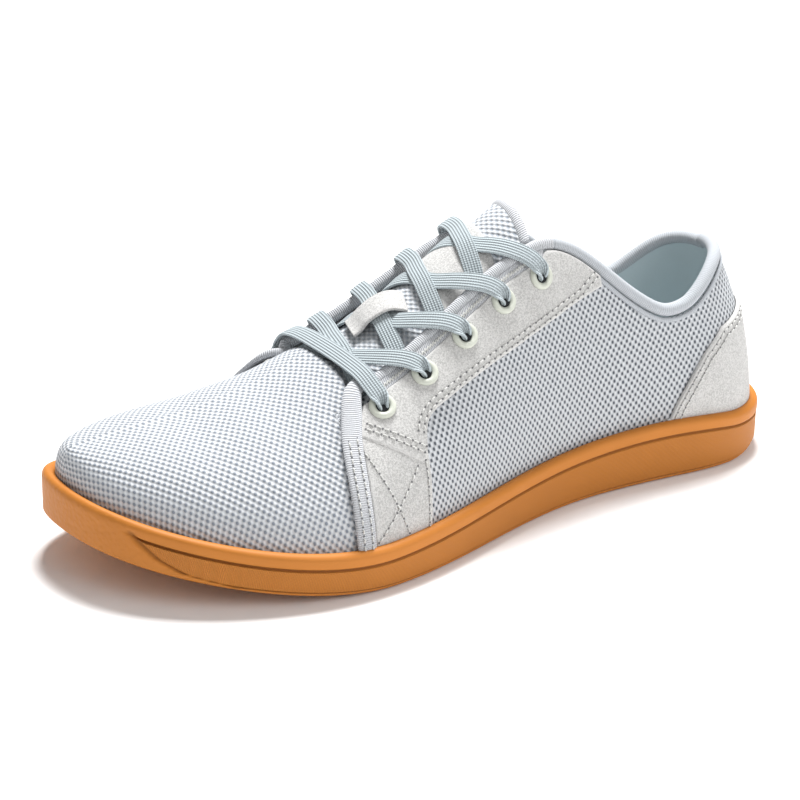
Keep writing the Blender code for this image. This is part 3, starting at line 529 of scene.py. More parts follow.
def piece(name, sheets, looks, nodes=(), outwards=False, mask_names=()):
    """Object at the origin from sheets joined in one mesh; it rides on the root and hides the imported parts
    that its nodes name.
    """
    verts, quads, coords, mats, marks, base = [], [], [], [], [], 0
    for points, uv, material, flip, masks in sheets:
        k = base + np.arange(points[..., 0].size).reshape(points.shape[:3])
        corners = [k[:, :-1, :-1], k[:, :-1, 1:], k[:, 1:, 1:], k[:, 1:, :-1]]
        q = np.stack(corners[::-1] if flip else corners, -1).reshape(-1, 4)
        verts.append(points.reshape(-1, 3))
        coords.append(uv.reshape(-1, 2)[q - base].reshape(-1, 2))
        quads.append(q)
        mats.append(np.full(len(q), material, np.int32))
        none = np.zeros((points[..., 0].size, len(mask_names)))
        marks.append(none if masks is None else masks.reshape(-1, len(mask_names)))
        base += points[..., 0].size
    mesh = bpy.data.meshes.new(name)
    quads = np.vstack(quads)
    mesh.vertices.add(base)
    mesh.vertices.foreach_set("co", np.vstack(verts).astype(np.float32).ravel())
    mesh.loops.add(quads.size)
    mesh.loops.foreach_set("vertex_index", quads.astype(np.int32).ravel())
    mesh.polygons.add(len(quads))
    mesh.polygons.foreach_set("loop_start", np.arange(len(quads), dtype=np.int32) * 4)
    mesh.polygons.foreach_set("material_index", np.concatenate(mats))
    mesh.uv_layers.new(name="UVMap").data.foreach_set("uv", np.vstack(coords).astype(np.float32).ravel())
    for column, mask in enumerate(mask_names):
        values = np.vstack(marks)[:, column].astype(np.float32)
        mesh.attributes.new(mask, "FLOAT", "POINT").data.foreach_set("value", values)
    mesh.update(calc_edges=True)
    for look in looks:
        mesh.materials.append(look)
    bm = bmesh.new()
    bm.from_mesh(mesh)
    bmesh.ops.remove_doubles(bm, verts=bm.verts, dist=MERGE)
    bmesh.ops.dissolve_degenerate(bm, edges=bm.edges, dist=MERGE / 10)
    if outwards:
        bmesh.ops.recalc_face_normals(bm, faces=bm.faces)
    bm.to_mesh(mesh)
    bm.free()
    mesh.shade_smooth()
    obj = bpy.data.objects.new(name, mesh)
    bpy.context.scene.collection.objects.link(obj)
    if nodes:
        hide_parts(*nodes)
    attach(obj, "root")
    return obj


def tube(centre, out, wide, half_wide, half_thick, corners=20, power=2.0):
    """Closed band along a path: a superellipse of the given half sizes in the directions wide and out."""
    angle = np.linspace(0, 2 * math.pi, corners + 1)
    c, s = np.cos(angle), np.sin(angle)
    c = np.sign(c) * np.abs(c) ** (2 / power)
    s = np.sign(s) * np.abs(s) ** (2 / power)
    half_wide = np.broadcast_to(half_wide, len(centre))[:, None, None]
    half_thick = np.broadcast_to(half_thick, len(centre))[:, None, None]
    across = wide[:, None] * c[None, :, None] * half_wide
    p = centre[:, None] + across + out[:, None] * s[None, :, None] * half_thick
    return capped(centre, p, np.stack([lengths(p, 0)[:, :1] + np.zeros(p.shape[:2]), lengths(p, 1)], -1))


def capped(centre, p, uv):
    """Rings round a path with both ends drawn in to its first and last point."""
    ends = [np.broadcast_to(centre[k], p[0].shape)[None] for k in (0, -1)]
    return np.concatenate([ends[0], p, ends[1]]), np.concatenate([uv[:1], uv, uv[-1:]])


def hoops(centre, across, out, radius, corners=7):
    """Rings of small round tubes: centre + radius * (across * cos + out * sin), one axis more than centre."""
    turn = np.linspace(0, 2 * math.pi, corners)
    ring = across[..., None, :] * np.cos(turn)[:, None] + out[..., None, :] * np.sin(turn)[:, None]
    return centre[..., None, :] + radius * ring


class Nodes:
    """Small builder of a material's node tree."""

    def __init__(self, name, roughness, sheen=0.0, specular=0.5):
        """Material with these values set on its shader."""
        self.material = bpy.data.materials.new(name)
        self.material.use_nodes = True
        self.tree = self.material.node_tree
        self.shader = self.tree.nodes["Principled BSDF"]
        self.shader.inputs["Roughness"].default_value = roughness
        self.shader.inputs["Sheen Weight"].default_value = sheen
        self.shader.inputs["Specular IOR Level"].default_value = specular

    def add(self, kind, **values):
        """Node of a kind with its settings."""
        node = self.tree.nodes.new(kind)
        for key, value in values.items():
            setattr(node, key, value)
        return node

    def link(self, value, socket):
        """Joins an output to a socket, or sets the socket's own value."""
        if isinstance(value, bpy.types.NodeSocket):
            self.tree.links.new(value, socket)
        else:
            socket.default_value = value

    def math(self, operation, *values):
        """Result of an operation on values or outputs."""
        node = self.add("ShaderNodeMath", operation=operation)
        for value, socket in zip(values, node.inputs):
            self.link(value, socket)
        return node.outputs[0]

    def smooth(self, value, low, high):
        """Smooth step from 0 at low to 1 at high."""
        node = self.add("ShaderNodeMapRange", interpolation_type="SMOOTHSTEP")
        self.link(value, node.inputs["Value"])
        node.inputs["From Min"].default_value = low
        node.inputs["From Max"].default_value = high
        return node.outputs["Result"]

    def uv(self):
        """Flat coordinates in metres."""
        node = self.add("ShaderNodeUVMap", uv_map="UVMap")
        split = self.add("ShaderNodeSeparateXYZ")
        self.tree.links.new(node.outputs[0], split.inputs[0])
        return split.outputs[0], split.outputs[1]

    def wave(self, value, pitch):
        """Cosine that repeats at each pitch."""
        return self.math("COSINE", self.math("MULTIPLY", value, 2 * math.pi / pitch))

    def noise(self, scale, detail=2.0, roughness=0.5):
        """Noise in the object's own coordinates."""
        where = self.add("ShaderNodeTexCoord")
        node = self.add("ShaderNodeTexNoise")
        self.tree.links.new(where.outputs["Object"], node.inputs["Vector"])
        node.inputs["Scale"].default_value = scale
        node.inputs["Detail"].default_value = detail
        node.inputs["Roughness"].default_value = roughness
        return node.outputs["Fac"]

    def mask(self, name):
        """Mask that the mesh carries by this name."""
        return self.add("ShaderNodeAttribute", attribute_name=name).outputs["Fac"]

    def mix(self, factor, first, second):
        """Colour between two by a factor."""
        node = self.add("ShaderNodeMix", data_type="RGBA")
        self.link(factor, node.inputs[0])
        for value, socket in ((first, node.inputs[6]), (second, node.inputs[7])):
            self.link((*value, 1) if isinstance(value, tuple) else value, socket)
        return node.outputs[2]

    def colour(self, value):
        """Sets the shader's colour."""
        socket = self.shader.inputs["Base Color"]
        self.link((*value, 1) if isinstance(value, tuple) else value, socket)

    def bump(self, height, distance):
        """Relief from a height; the distance is its full depth."""
        node = self.add("ShaderNodeBump")
        self.link(height, node.inputs["Height"])
        self.link(distance, node.inputs["Distance"])
        self.link(1.0, node.inputs["Strength"])
        self.tree.links.new(node.outputs[0], self.shader.inputs["Normal"])


def shade(colour, factor):
    """Colour made darker or paler by a factor."""
    return tuple(min(1.0, factor * c) for c in colour)


def knit(name, thread, hole, pitch, depth, painted_shade=0.9):
    """Open knit: bright and dark dots in turn, from the product of two cosines of the flat coordinates; the
    dark dots are painted shade in the holes, and the threads are painted darker away from their raised tops.
    """
    n = Nodes(name, 0.85, sheen=0.10, specular=0.25)
    dots = n.math("MULTIPLY", *(n.wave(x, p) for x, p in zip(n.uv(), pitch)))
    uneven = n.math("MULTIPLY", n.math("SUBTRACT", n.noise(700, 2), 0.5), 0.5)
    dots = n.math("ADD", dots, uneven)
    open_at = n.smooth(dots, -0.10, -0.70)
    # The threads are painted darker away from their raised tops: painted shade and highlight on the weave.
    shaded_thread = n.mix(n.smooth(dots, -0.4, 0.7), shade(thread, 0.74), thread)
    # The holes take their dark colour by the painted_shade weight: painted shade inside the holes.
    n.colour(n.mix(n.math("MULTIPLY", open_at, painted_shade), shaded_thread, hole))
    n.bump(dots, depth)
    return n.material


def suede(name, colour):
    """Nap: specks of two sizes in the colour, a fine bump and a painted highlight along the rounded edge."""
    n = Nodes(name, 0.95, sheen=0.2, specular=0.12)
    fine, middle, coarse = n.noise(3600, 1, 0.6), n.noise(1500, 2, 0.6), n.noise(120, 2)
    speck = n.math("ADD", n.math("MULTIPLY", fine, 0.40), n.math("MULTIPLY", middle, 0.50))
    speck = n.math("ADD", speck, n.math("MULTIPLY", coarse, 0.10))
    nap = n.mix(n.smooth(speck, 0.38, 0.60), shade(colour, 0.68), shade(colour, 1.06))
    # The edge mask paints a highlight on the overlay's rounded border.
    n.colour(n.mix(n.math("MULTIPLY", n.mask("edge"), 0.45), nap, shade(colour, 1.12)))
    n.bump(n.math("ADD", n.math("MULTIPLY", middle, 0.6), n.math("MULTIPLY", fine, 0.4)), 0.00030)
    return n.material


def ribbed(name, colour, pitch, depth, painted_shade=0.72):
    """Tape: ribs across a band, a cosine of the running length, with painted shade in the valleys between the
    ribs.
    """
    n = Nodes(name, 0.8, sheen=0.1, specular=0.2)
    grain = n.math("MULTIPLY", n.math("SUBTRACT", n.noise(1800, 1), 0.5), 0.8)
    wave = n.math("ADD", n.wave(n.uv()[0], pitch), grain)
    # The ribs' valleys are painted darker by the painted_shade factor: painted shade.
    n.colour(n.mix(n.smooth(wave, -1.0, 0.5), shade(colour, painted_shade), colour))
    n.bump(wave, depth)
    return n.material


def woven_lace(name, colour):
    """Flat lace: ribs along it with short stitches across them, with painted shade in the valleys and a
    painted highlight on the ribs' tops.
    """
    n = Nodes(name, 0.7, sheen=0.1, specular=0.25)
    u, v = n.uv()
    height = n.math("ADD", n.wave(v, LACE_RIB), n.math("MULTIPLY", n.wave(u, LACE_STITCH), 0.40))
    # Darker in the valleys and paler on the ribs' tops: painted shade and painted highlight.
    n.colour(n.mix(n.smooth(height, -1.3, 0.4), shade(colour, 0.72), shade(colour, 1.04)))
    n.bump(height, 0.00018)
    return n.material


def plain(name, colour, roughness, specular=0.5, grain=0.0, scale=900.0):
    """Even finish with a soft change of tone and, if asked, a grain."""
    n = Nodes(name, roughness, specular=specular)
    n.colour(n.mix(n.noise(90, 2), shade(colour, 0.96), shade(colour, 1.03)))
    if grain:
        n.bump(n.noise(scale, 3), grain)
    return n.material


def gum_rubber(name, colour):
    """Gum: smooth rim, fine slanted hatching on the side band and a leather grain round the toe, with painted
    shade in the hatching's grooves, the fine line, the groove under the rim and the panel's notch.
    """
    n = Nodes(name, 0.55, specular=0.25)
    u, v = n.uv()
    hatch = n.mask("hatch")
    slant = n.math("ADD", u, n.math("MULTIPLY", v, HATCH_SLANT))
    lines = n.math("MULTIPLY", n.wave(slant, HATCH_PITCH), hatch)
    cells = n.add("ShaderNodeTexVoronoi", feature="SMOOTH_F1")
    n.link(n.add("ShaderNodeTexCoord").outputs["Object"], cells.inputs["Vector"])
    n.link(GRAIN_SCALE, cells.inputs["Scale"])
    grain = n.math("MULTIPLY", n.math("SUBTRACT", cells.outputs["Distance"], 0.45), n.mask("grain"))
    height = n.math("SUBTRACT", n.math("MULTIPLY", lines, 0.55), n.math("MULTIPLY", grain, 1.8))
    tone = n.mix(n.noise(60, 2), shade(colour, 0.93), shade(colour, 1.06))
    # The hatching's grooves are painted darker: painted shade.
    tone = n.mix(n.math("MULTIPLY", hatch, n.smooth(lines, 0.2, -0.9)), tone, shade(colour, 0.80))
    # The groove-shade mask paints the fine line, the groove and the panel's notch dark: painted shade.
    n.colour(n.mix(n.math("MULTIPLY", n.mask("cut"), 0.75), tone, shade(colour, 0.40)))
    n.bump(height, 0.00013)
    return n.material


def linear(hexadecimal):
    """Linear colour of a screen colour written as RRGGBB."""
    c = np.array([int(hexadecimal[k:k + 2], 16) for k in (0, 2, 4)]) / 255
    return tuple(np.where(c <= 0.04045, c / 12.92, ((c + 0.055) / 1.055) ** 2.4).tolist())


def colour_property(name, description, hexadecimal):
    """Colour that a user can change, given as a screen colour."""
    return FloatVectorProperty(name=name, description=description, default=linear(hexadecimal),
                               subtype="COLOR", size=3, min=0, max=1)


def length_property(name, description, default):
    """Length that a user can change, in metres."""
    return FloatProperty(name=name, description=description, default=default,
                         unit="LENGTH", min=0, precision=5)


class ShoeSizes(bpy.types.PropertyGroup):
    """Sizes that change the dressing and not the last."""

    knit_step: length_property("Knit step", "Step of the knit's holes along a row", 0.00243)
    knit_rows: length_property("Knit rows", "Distance over two rows of the knit", 0.0033)
    stitch_step: length_property("Stitch step", "Distance from one stitch to the next", 0.0030)
    stitch_radius: length_property("Thread radius", "Radius of the sewing thread", 0.00030)
    lace_width: length_property("Lace width", "Width of the flat lace", 0.0067)
    lace_thickness: length_property("Lace thickness", "Thickness of the flat lace", 0.0014)
    eyelet_diameter: length_property("Eyelet diameter", "Outer diameter of an eyelet's flange", 0.0097)
    eyelet_hole: length_property("Eyelet hole", "Diameter of an eyelet's hole", 0.0048)
    collar_roll: length_property("Collar roll", "Diameter of the rolled collar", 0.0050)
    throat_bead: length_property("Throat bead", "Diameter of the bead along the throat", 0.0044)


class ShoeColours(bpy.types.PropertyGroup):
    """Colours of the shoe's materials."""

    thread: colour_property("Knit thread", "Threads of the knit", "CED1D5")
    # The hole colours are painted shade inside the knit's holes.
    quarter_hole_shade: colour_property("Quarter holes", "Holes of the knit on the sides", "4A5058")
    vamp_hole_shade: colour_property("Vamp holes", "Holes of the knit over the toes", "737C88")
    tongue_hole_shade: colour_property("Tongue holes", "Holes of the knit on the tongue", "98A0A9")
    suede: colour_property("Suede", "Overlays, patch and keeper", "C9C8C6")
    tape: colour_property("Tape", "Ribbed tape and bindings", "CBCDD1")
    collar: colour_property("Collar", "Rolled collar", "B6BABF")
    lining: colour_property("Lining", "Inside of the shoe", "CBD6D9")
    lace: colour_property("Lace", "Flat laces", "AFB9BD")
    eyelet: colour_property("Eyelet", "Lacquered rings", "C9CCC0")
    # Painted shade: the colour of a dark disc low in each eyelet's hole.
    hole: colour_property("Eyelet holes", "Dark inside of the eyelets", "2E3032")
    sewing: colour_property("Sewing thread", "Stitches", "CDCDCA")
    # Painted shade: the colour of the dark dots at the stitches' needle holes.
    needle: colour_property("Needle holes", "Ends of the stitches", "6A6A6C")
    gum: colour_property("Gum", "Rubber of the sole", "BD762E")


def sizes():
    """The scene's sizes."""
    return bpy.context.scene.shoe_sizes


def colour(name):
    """A colour of the scene by its name."""
    return tuple(getattr(bpy.context.scene.shoe_colours, name))


LOOKS = {}


def look(name):
    """Material of a finish, made once."""
    if name not in LOOKS:
        pitch = sizes().knit_step, sizes().knit_rows
        thread = colour("thread")
        makers = {
            "quarter knit": lambda: knit(name, thread, colour("quarter_hole_shade"), pitch, 0.0003, 0.95),
            "vamp knit": lambda: knit(name, thread, colour("vamp_hole_shade"), pitch, 0.0003, 0.85),
            "tongue knit": lambda: knit(name, thread, colour("tongue_hole_shade"), pitch, 0.0003, 0.85),
            "hole": lambda: plain(name, colour("hole"), 0.9, 0.1),
            "suede": lambda: suede(name, colour("suede")),
            "tape": lambda: ribbed(name, colour("tape"), TAPE_RIB, 0.00012),
            "collar knit": lambda: ribbed(name, colour("collar"), COLLAR_RIB, 0.00006, 0.86),
            "lining": lambda: plain(name, colour("lining"), 0.8, 0.3, 0.00005),
            "lace": lambda: woven_lace(name, colour("lace")),
            "eyelet": lambda: plain(name, colour("eyelet"), 0.32),
            "sewing": lambda: plain(name, colour("sewing"), 0.8, 0.3, 0.00004, 4000.0),
            "needle": lambda: plain(name, colour("needle"), 0.9, 0.2),
            "gum": lambda: gum_rubber(name, colour("gum")),
        }
        LOOKS[name] = makers[name]()
    return LOOKS[name]


def loop_of(lateral, medial):
    """Closed loop round the outline from its lateral and medial halves."""
    return np.concatenate([lateral, medial[-2::-1]])


def span(distance, s, count, height):
    """Sheet across the outline from its lateral to its medial side, at a height over the floor."""
    lateral, medial = sides(distance, s)
    t = np.linspace(0, 1, count)[None, :, None]
    across = lateral[:, None] * (1 - t) + medial[:, None] * t
    return np.dstack([across, height(across[..., 0], across[..., 1])])


def tread(x, y):
    """Depth of the wavy grooves under the sole: a rounded notch round each of a row of cosines."""
    wave = TREAD_WAVE * np.cos((y - AXIS_Y + 0.62 * BALL_WIDTH) / (1.28 * BALL_WIDTH / 6) * math.pi)
    a = share(x - wave) - TREAD_FIRST
    k = np.clip(np.round(a / TREAD_PITCH), 0, TREAD_LAST)
    d = np.abs(a - TREAD_PITCH * k) * SOLE_LENGTH
    return TREAD_DEPTH * (1 - step(*TREAD_HALF, d))


def rim_contact(s):
    """Closed loop where the rim's roll meets the upper, just inside its surface."""
    halves = []
    for medial in (False, True):
        angle = rim_angle(s, medial, -ROLL_DROP)
        p, n, _ = frame_at(s, 180 - angle if medial else angle)
        halves.append((p - n * GAP)[:, :2])
    return loop_of(*halves)


def build_sole():
    """Cup sole: rings round the outline from the tread over side, groove and rim, and its bed inside.

    Each ring is the outline moved inwards by a distance, with its height a sum of lift and rim by place.
    """
    s = np.r_[np.linspace(0, 0.70, 140)[:-1], np.linspace(0.70, 0.94, 150)[:-1], np.linspace(0.94, 1, 30)]
    tread_inset, line_half = EDGE_INSET + EDGE_IN, 0.0002
    side_base = LINE_HEIGHT + 0.0005

    def ring(distance, rise, up=0.0, top=GROOVE_HEIGHT + RIM_BAND):
        """Ring at a rise over the underside, or a share up from there to a depth under the rim's top."""
        p = loop_of(*sides(distance, s))
        base = lift(p[:, 0]) + rise
        return np.c_[p, base + (rim_top(p[:, 0]) - top - base) * up]

    edge = [ring(tread_inset - EDGE_IN * math.sin(t), EDGE_UP * (1 - math.cos(t)))
            for t in np.linspace(0, math.pi / 2, 6)]
    line = [ring(inset, LINE_HEIGHT + rise) for inset, rise in
            ((EDGE_INSET, -line_half), (LINE_INSET, 0.0), (LINE_INSET, line_half))]
    band = [ring(SIDE_INSET, side_base, t) for t in np.linspace(0, 1, 26)]
    deepest = SIDE_INSET + GROOVE_DEPTH
    groove = [ring(inset, 0.0, 1.0, RIM_BAND + GROOVE_HEIGHT * part) for inset, part in
              ((deepest, 0.85), (deepest, 0.30), (0.0001, 0.0), (0.0, -0.3))]
    outer, inner = loop_of(*sides(0.0, s)), rim_contact(s)
    toe = step(0.84, 0.94, s)
    toe = loop_of(toe, toe)
    roll = []
    for t in np.linspace(0, math.pi, 15):
        p = outer + (inner - outer) * (1 - math.cos(t)) / 2
        soft = ROLL_DROP + TOE_DROP * toe * (t < math.pi / 2)
        roll.append(np.c_[p, rim_top(p[:, 0]) - soft * (1 - math.sin(t))])
    bed = [ring(RIM_WALL, FLOOR_THICKNESS + rise) for rise in (0.0006, 0.0)]
    points = np.stack(edge + line + band + groove + roll + bed)

    # rows by their first number: the side runs from the fine line to the groove's last ring
    side_from, band_from = len(edge), len(edge) + len(line)
    groove_from, roll_from = band_from + len(band), band_from + len(band) + len(groove)
    row = np.arange(len(points))[:, None]
    outside = (row >= side_from) & (row < roll_from)
    hatched = (row >= band_from) & (row < groove_from)
    deep = np.isin(row, (side_from + 1, side_from + 2, groove_from, groove_from + 1))
    rise = (points[..., 2] - lift(points[..., 0])) * 1000
    # distance ahead of the front panel's slanting edge, square to it
    ahead = (loop_of(s, s)[None, :] - table(TOE_PANEL, rise)) * HALF_OUTLINE * PANEL_SINE
    panel = step(-0.0005, 0.0005, ahead) * outside
    points[..., :2] += (outer[None] - points[..., :2]) * panel[..., None]
    # ahead of the edge the side is plain, with its rows evenly from the line to the rim's band
    side = np.s_[side_from:roll_from]
    even = np.linspace(points[side_from, :, 2], points[roll_from - 1, :, 2], roll_from - side_from)
    points[side, :, 2] += (even - points[side, :, 2]) * panel[side]
    outward = (outer - loop_of(*sides(0.002, s))) / 0.002
    notch = NOTCH_DEPTH * np.exp(-(ahead / NOTCH_WIDTH) ** 2) * outside
    points[..., :2] -= outward[None] * notch[..., None]
    # Groove-shade mask: painted shade in the fine line, the groove under the rim and the notch along the
    # panel's edge.
    cut = np.maximum(deep * (1 - panel), np.exp(-(ahead / 0.0005) ** 2) * outside)
    # the grain fades out over the lower half of the roll
    fade = np.clip(1 - (row - roll_from) / 8, 0, 1) * (row >= roll_from)
    masks = np.stack([hatched * (1 - panel), panel + fade * panel[roll_from - 1], cut], -1)
    sheets = [grid_sheet(points, np.stack([lengths(points, 1), lengths(points, 0)], -1), masks=masks)]
    under = span(tread_inset, np.linspace(0, 1, 601), 61, lambda x, y: lift(x) + tread(x, y))
    floor = span(RIM_WALL, s, 9, lambda x, y: lift(x) + FLOOR_THICKNESS)
    sheets += [grid_sheet(under, flip=True), grid_sheet(floor)]
    return [piece("sole", sheets, [look("gum")], ("outsole",), True, ("hatch", "grain", "cut"))]


def build_insole():
    """Insole's cover over the sole's bed."""
    s = np.linspace(0, 1, 120)
    inset = RIM_WALL + UPPER_WALL + 3 * GAP
    base, border = FLOOR_THICKNESS + GAP, 0.0016
    rows = []
    # foot, two rings of the rounded edge and the top's border: distance inwards, height
    for distance, height in ((0.0, 0.0), (0.0, 0.0032), (0.0006, 0.0039), (border, INSOLE_THICKNESS)):
        p = loop_of(*sides(inset + distance, s))
        rows.append(np.c_[p, lift(p[:, 0]) + base + height])
    top = span(inset + border, s, 13, lambda x, y: lift(x) + base + INSOLE_THICKNESS)
    under = span(inset, s, 13, lambda x, y: lift(x) + base)
    sheets = [grid_sheet(np.stack(rows)), grid_sheet(top), grid_sheet(under)]
    return [piece("insole_cover", sheets, [look("lining")], ("insole",), True)]


def quarter_grid(medial, inwards=0.0, stations=220, rows=56, last=0.655):
    """Side of the upper: stations from the heel's back to the tape by shares of the top edge's angle."""
    s = np.linspace(0, last, stations)[:, None]
    s, angle = placed(s, edge_angle(s) * np.linspace(0, 1, rows)[None, :], medial)
    return offset(s, angle, -inwards)


def vamp_grid(inwards=0.0, stations=130, rows=150):
    """Front of the upper: angles over the section by shares of the way from its rear edge to the toe."""
    angle = np.linspace(0, 180, rows)[None, :]
    rear = table(VAMP_REAR, angle)
    s = rear + (1 - rear) * np.linspace(0, 1, stations)[:, None]
    return offset(s, angle, -inwards)


def build_upper():
    """Knit quarters and vamp with the lining behind them and a wall between the two."""
    quarters = []
    for medial in (False, True):
        p = quarter_grid(medial)
        quarters.append(grid_sheet(p, flattened(p), flip=not medial))
    made = [piece("quarters", quarters, [look("quarter knit")], ("upper",))]
    p = vamp_grid()
    edge = np.concatenate([vamp_grid(UPPER_WALL)[:1], p[:1]])
    flat = flattened(p, ridge=p.shape[1] // 2)
    made.append(piece("vamp", [grid_sheet(p, flat, flip=True), grid_sheet(edge, flip=True)],
                      [look("vamp knit")], ("upper",)))
    inside = [grid_sheet(quarter_grid(medial, UPPER_WALL, 90, 24), flip=medial) for medial in (False, True)]
    inside.append(grid_sheet(vamp_grid(UPPER_WALL, 60, 60)))
    for medial in (False, True):
        outer, inner = (quarter_grid(medial, d, 200, 2)[:, -1] for d in (0.0, UPPER_WALL))
        inside.append(grid_sheet(np.stack([outer, inner], 1), flip=not medial))
    made.append(piece("lining", inside, [look("lining")], ("upper",)))
    return made


def rounded(flat, border):
    """Share of a sheet's thickness, a quarter round along its border, and the distance from the border."""
    down, over = lengths(flat, 0), lengths(flat, 1)
    d = np.minimum(np.minimum(down, down[-1:] - down), np.minimum(over, over[:, -1:] - over))
    t = np.clip(d / border, 0, 1)
    return np.sqrt(np.clip(1 - (1 - t) ** 2, 0, 1)), d


def overlay(s, angle, base, thick, border):
    """Points and edge mask of an overlay, the mask marking its rounded border for a painted highlight: full
    thickness, rounded off to its base round the border.
    """
    full, d = rounded(offset(s, angle, base), border)
    return offset(s, angle, base + thick * full), (1 - step(border, 1.5 * border, d))[..., None]


def edged(count, border=0.02):
    """Shares 0 to 1 with extra steps near both ends, for rounded borders."""
    fine = border * np.array([0.0, 0.12, 0.35, 0.65])
    return np.r_[fine, np.linspace(border, 1 - border, count), 1 - fine[::-1]]


def thread_run(points, normals, gap=0.25):
    """Stitches along a path: small arched tubes, end to end with gaps, and a dark dot of painted shade at the
    needle hole between each two.
    """
    r = sizes().stitch_radius
    where = lengths(points)
    count = max(1, int(round(where[-1] / sizes().stitch_step)))
    each = where[-1] / count
    u = np.linspace(0, 1, 6)
    at = each * (np.arange(count)[:, None] + gap / 2 + (1 - gap) * u[None, :])

    out = unit(read(at, where, normals))
    centre = read(at, where, points) + out * (r * (2.2 * np.sin(math.pi * u) ** 0.5 - 0.9))[None, :, None]
    wide = unit(np.cross(out, unit(np.gradient(centre, axis=1))))
    thin = r * np.sqrt(np.clip(1 - (2 * u - 1) ** 4, 0, 1))
    tubes = hoops(centre, wide, out, thin[None, :, None, None])
    at = each * np.arange(count + 1)
    out, middle = unit(read(at, where, normals)), read(at, where, points)
    ahead = unit(np.gradient(middle, axis=0))
    wide = unit(np.cross(out, ahead))
    # a flat dot of painted shade at the needle hole: its rim and its middle, a little over the rim
    reach = np.array([NEEDLE_HOLE * r, 0.0])[None, :, None, None]
    centre = middle[:, None] + out[:, None] * np.array([0.00012, 0.00016])[None, :, None]
    holes = hoops(centre, wide[:, None], ahead[:, None], reach)
    return grid_sheet(tubes), grid_sheet(holes, material=1, flip=True)


def sewn(rows, medial, height, slides=(0.0,), count=60):
    """Stitch sheets along a line on the last, one run for each distance beside it."""
    rows = np.asarray(rows, float)
    way = np.r_[0, np.cumsum(np.hypot(np.diff(rows[:, 0]) * SOLE_LENGTH * 1000, np.diff(rows[:, 1])))]
    t = np.linspace(0, way[-1], count)
    s, angle = placed(*(np.interp(t, way, rows[:, k]) for k in (0, 1)), medial)
    sheets = []
    for slide in slides:
        sheets += thread_run(*beside(s, angle, height, slide))
    return sheets


def build_eyestays():
    """Suede run along collar and throat that ends over a leg, which goes down to the rim.

    Both are shares u along and v up between two edges; as each edge's place depends on the other, a few
    rounds bring them together.
    """
    made = []
    for side, medial in SIDES:
        u, v = edged(170, 0.012)[:, None], edged(26, 0.04)[None, :]
        reach = RUN_LOWER[-1][0] - STAY_REAR
        low = table(RUN_LOWER, STAY_REAR + reach * u)
        for _ in range(4):
            front = table(STAY_FRONT, low + (edge_angle(0.5) - low) * v)
            s = STAY_REAR + (front - STAY_REAR) * u
            low = table(RUN_LOWER, s)
        high = edge_angle(s) - WING * step(*WING_ROOM, s)
        points, edge = overlay(*placed(s, low + (high - low) * v, medial), RUN_BASE, RUN_THICK, BORDER)
        sheets = [grid_sheet(points, flip=not medial, masks=edge)]
        leg = [LEG_BACK[1][1], STAY_FRONT[2][1]]
        foot = rim_angle(placed(leg, 0, medial)[0], medial, UNDER_RIM).min()
        u, v = edged(26, 0.04)[:, None], edged(30, 0.03)[None, :]
        angle = foot + (LEG_TOP - foot) * v
        for _ in range(3):
            back, front = table(LEG_BACK, angle), table(STAY_FRONT, angle)
            s = back + (front - back) * u
            angle = foot + (table(RUN_LOWER, s) + 2.5 - foot) * v
        points, edge = overlay(*placed(s, angle, medial), GAP, LEG_THICK, BORDER)
        sheets.append(grid_sheet(points, flip=not medial, masks=edge))
        made.append(piece(f"eyestay_{side}_suede", sheets, [look("suede")], (f"eyestay_{side}",),
                          mask_names=("edge",)))
    return made


def counter_grid():
    """Stations and angles of the heel counter, from its lateral end round the heel to its medial end."""
    half = COUNTER_END * (1 - edged(50, 0.02)[:58])
    half[-1] = 0.0
    rows = []
    for medial in (False, True):
        low = rim_angle(half, medial, UNDER_RIM)
        high = np.maximum(table(COUNTER_TOP, half), low + 0.6)
        angle = low[:, None] + (high - low)[:, None] * edged(24, 0.04)[None, :]
        rows.append((half[:, None] + 0 * angle, 180 - angle if medial else angle))
    return (loop_of(*(row[k] for row in rows)) for k in (0, 1))


def build_counter():
    """Suede round the heel, high at the back and down to the rim on both sides."""
    points, edge = overlay(*counter_grid(), GAP, OVERLAY, BORDER)
    return [piece("counter_suede", [grid_sheet(points, masks=edge)], [look("suede")],
                  ("heel_counter",), mask_names=("edge",))]


def stand(s, medial):
    """Height by which the laces pull the medial edge of the throat up."""
    return THROAT_STAND * medial * step(*STAND_RISE, s) * (1 - step(*STAND_FALL, s))


def throat_path(medial, bead):
    """Middle of the throat's bead and the tape that it turns into, with normals and the share of tape."""
    s = np.linspace(COLLAR_CORNER, TAPE_PATH[0][0] - 0.008, 40)
    at, edge = placed(s, edge_angle(s), medial)
    first, _ = beside(at, edge, BEAD_HEIGHT + stand(s, medial), GAP + bead)
    foot_at = placed(TAPE_PATH[-1][0], 0, medial)[0]
    foot = rim_angle([foot_at], medial, UNDER_RIM)[0]
    rows = np.array([*TAPE_PATH, (TAPE_PATH[-1][0], foot, TAPE_PATH[-1][2])])
    down_at, down = placed(rows[:, 0], rows[:, 1], medial)
    rough = np.vstack([first, offset(down_at, down, rows[:, 2] * 0.001)])
    _, normal, _ = frame_at(np.r_[at, down_at], np.r_[edge, down])
    centre = resample(rough, 170)
    place, where = lengths(centre), lengths(rough)
    normal = unit(read(place, where, normal))
    flat = step(where[len(s) - 2], where[len(s) + 3], place)
    return centre, normal, flat


def rim_loop(start, drop=0.0, count=110):
    """Stations and angles of the collar's edge from a station round the heel to its twin, and their half."""
    half = np.linspace(start, 0, count)
    paths = [placed(half, edge_angle(half) - drop, medial) for _, medial in SIDES]
    return loop_of(paths[0][0], paths[1][0]), loop_of(paths[0][1], paths[1][1]), half


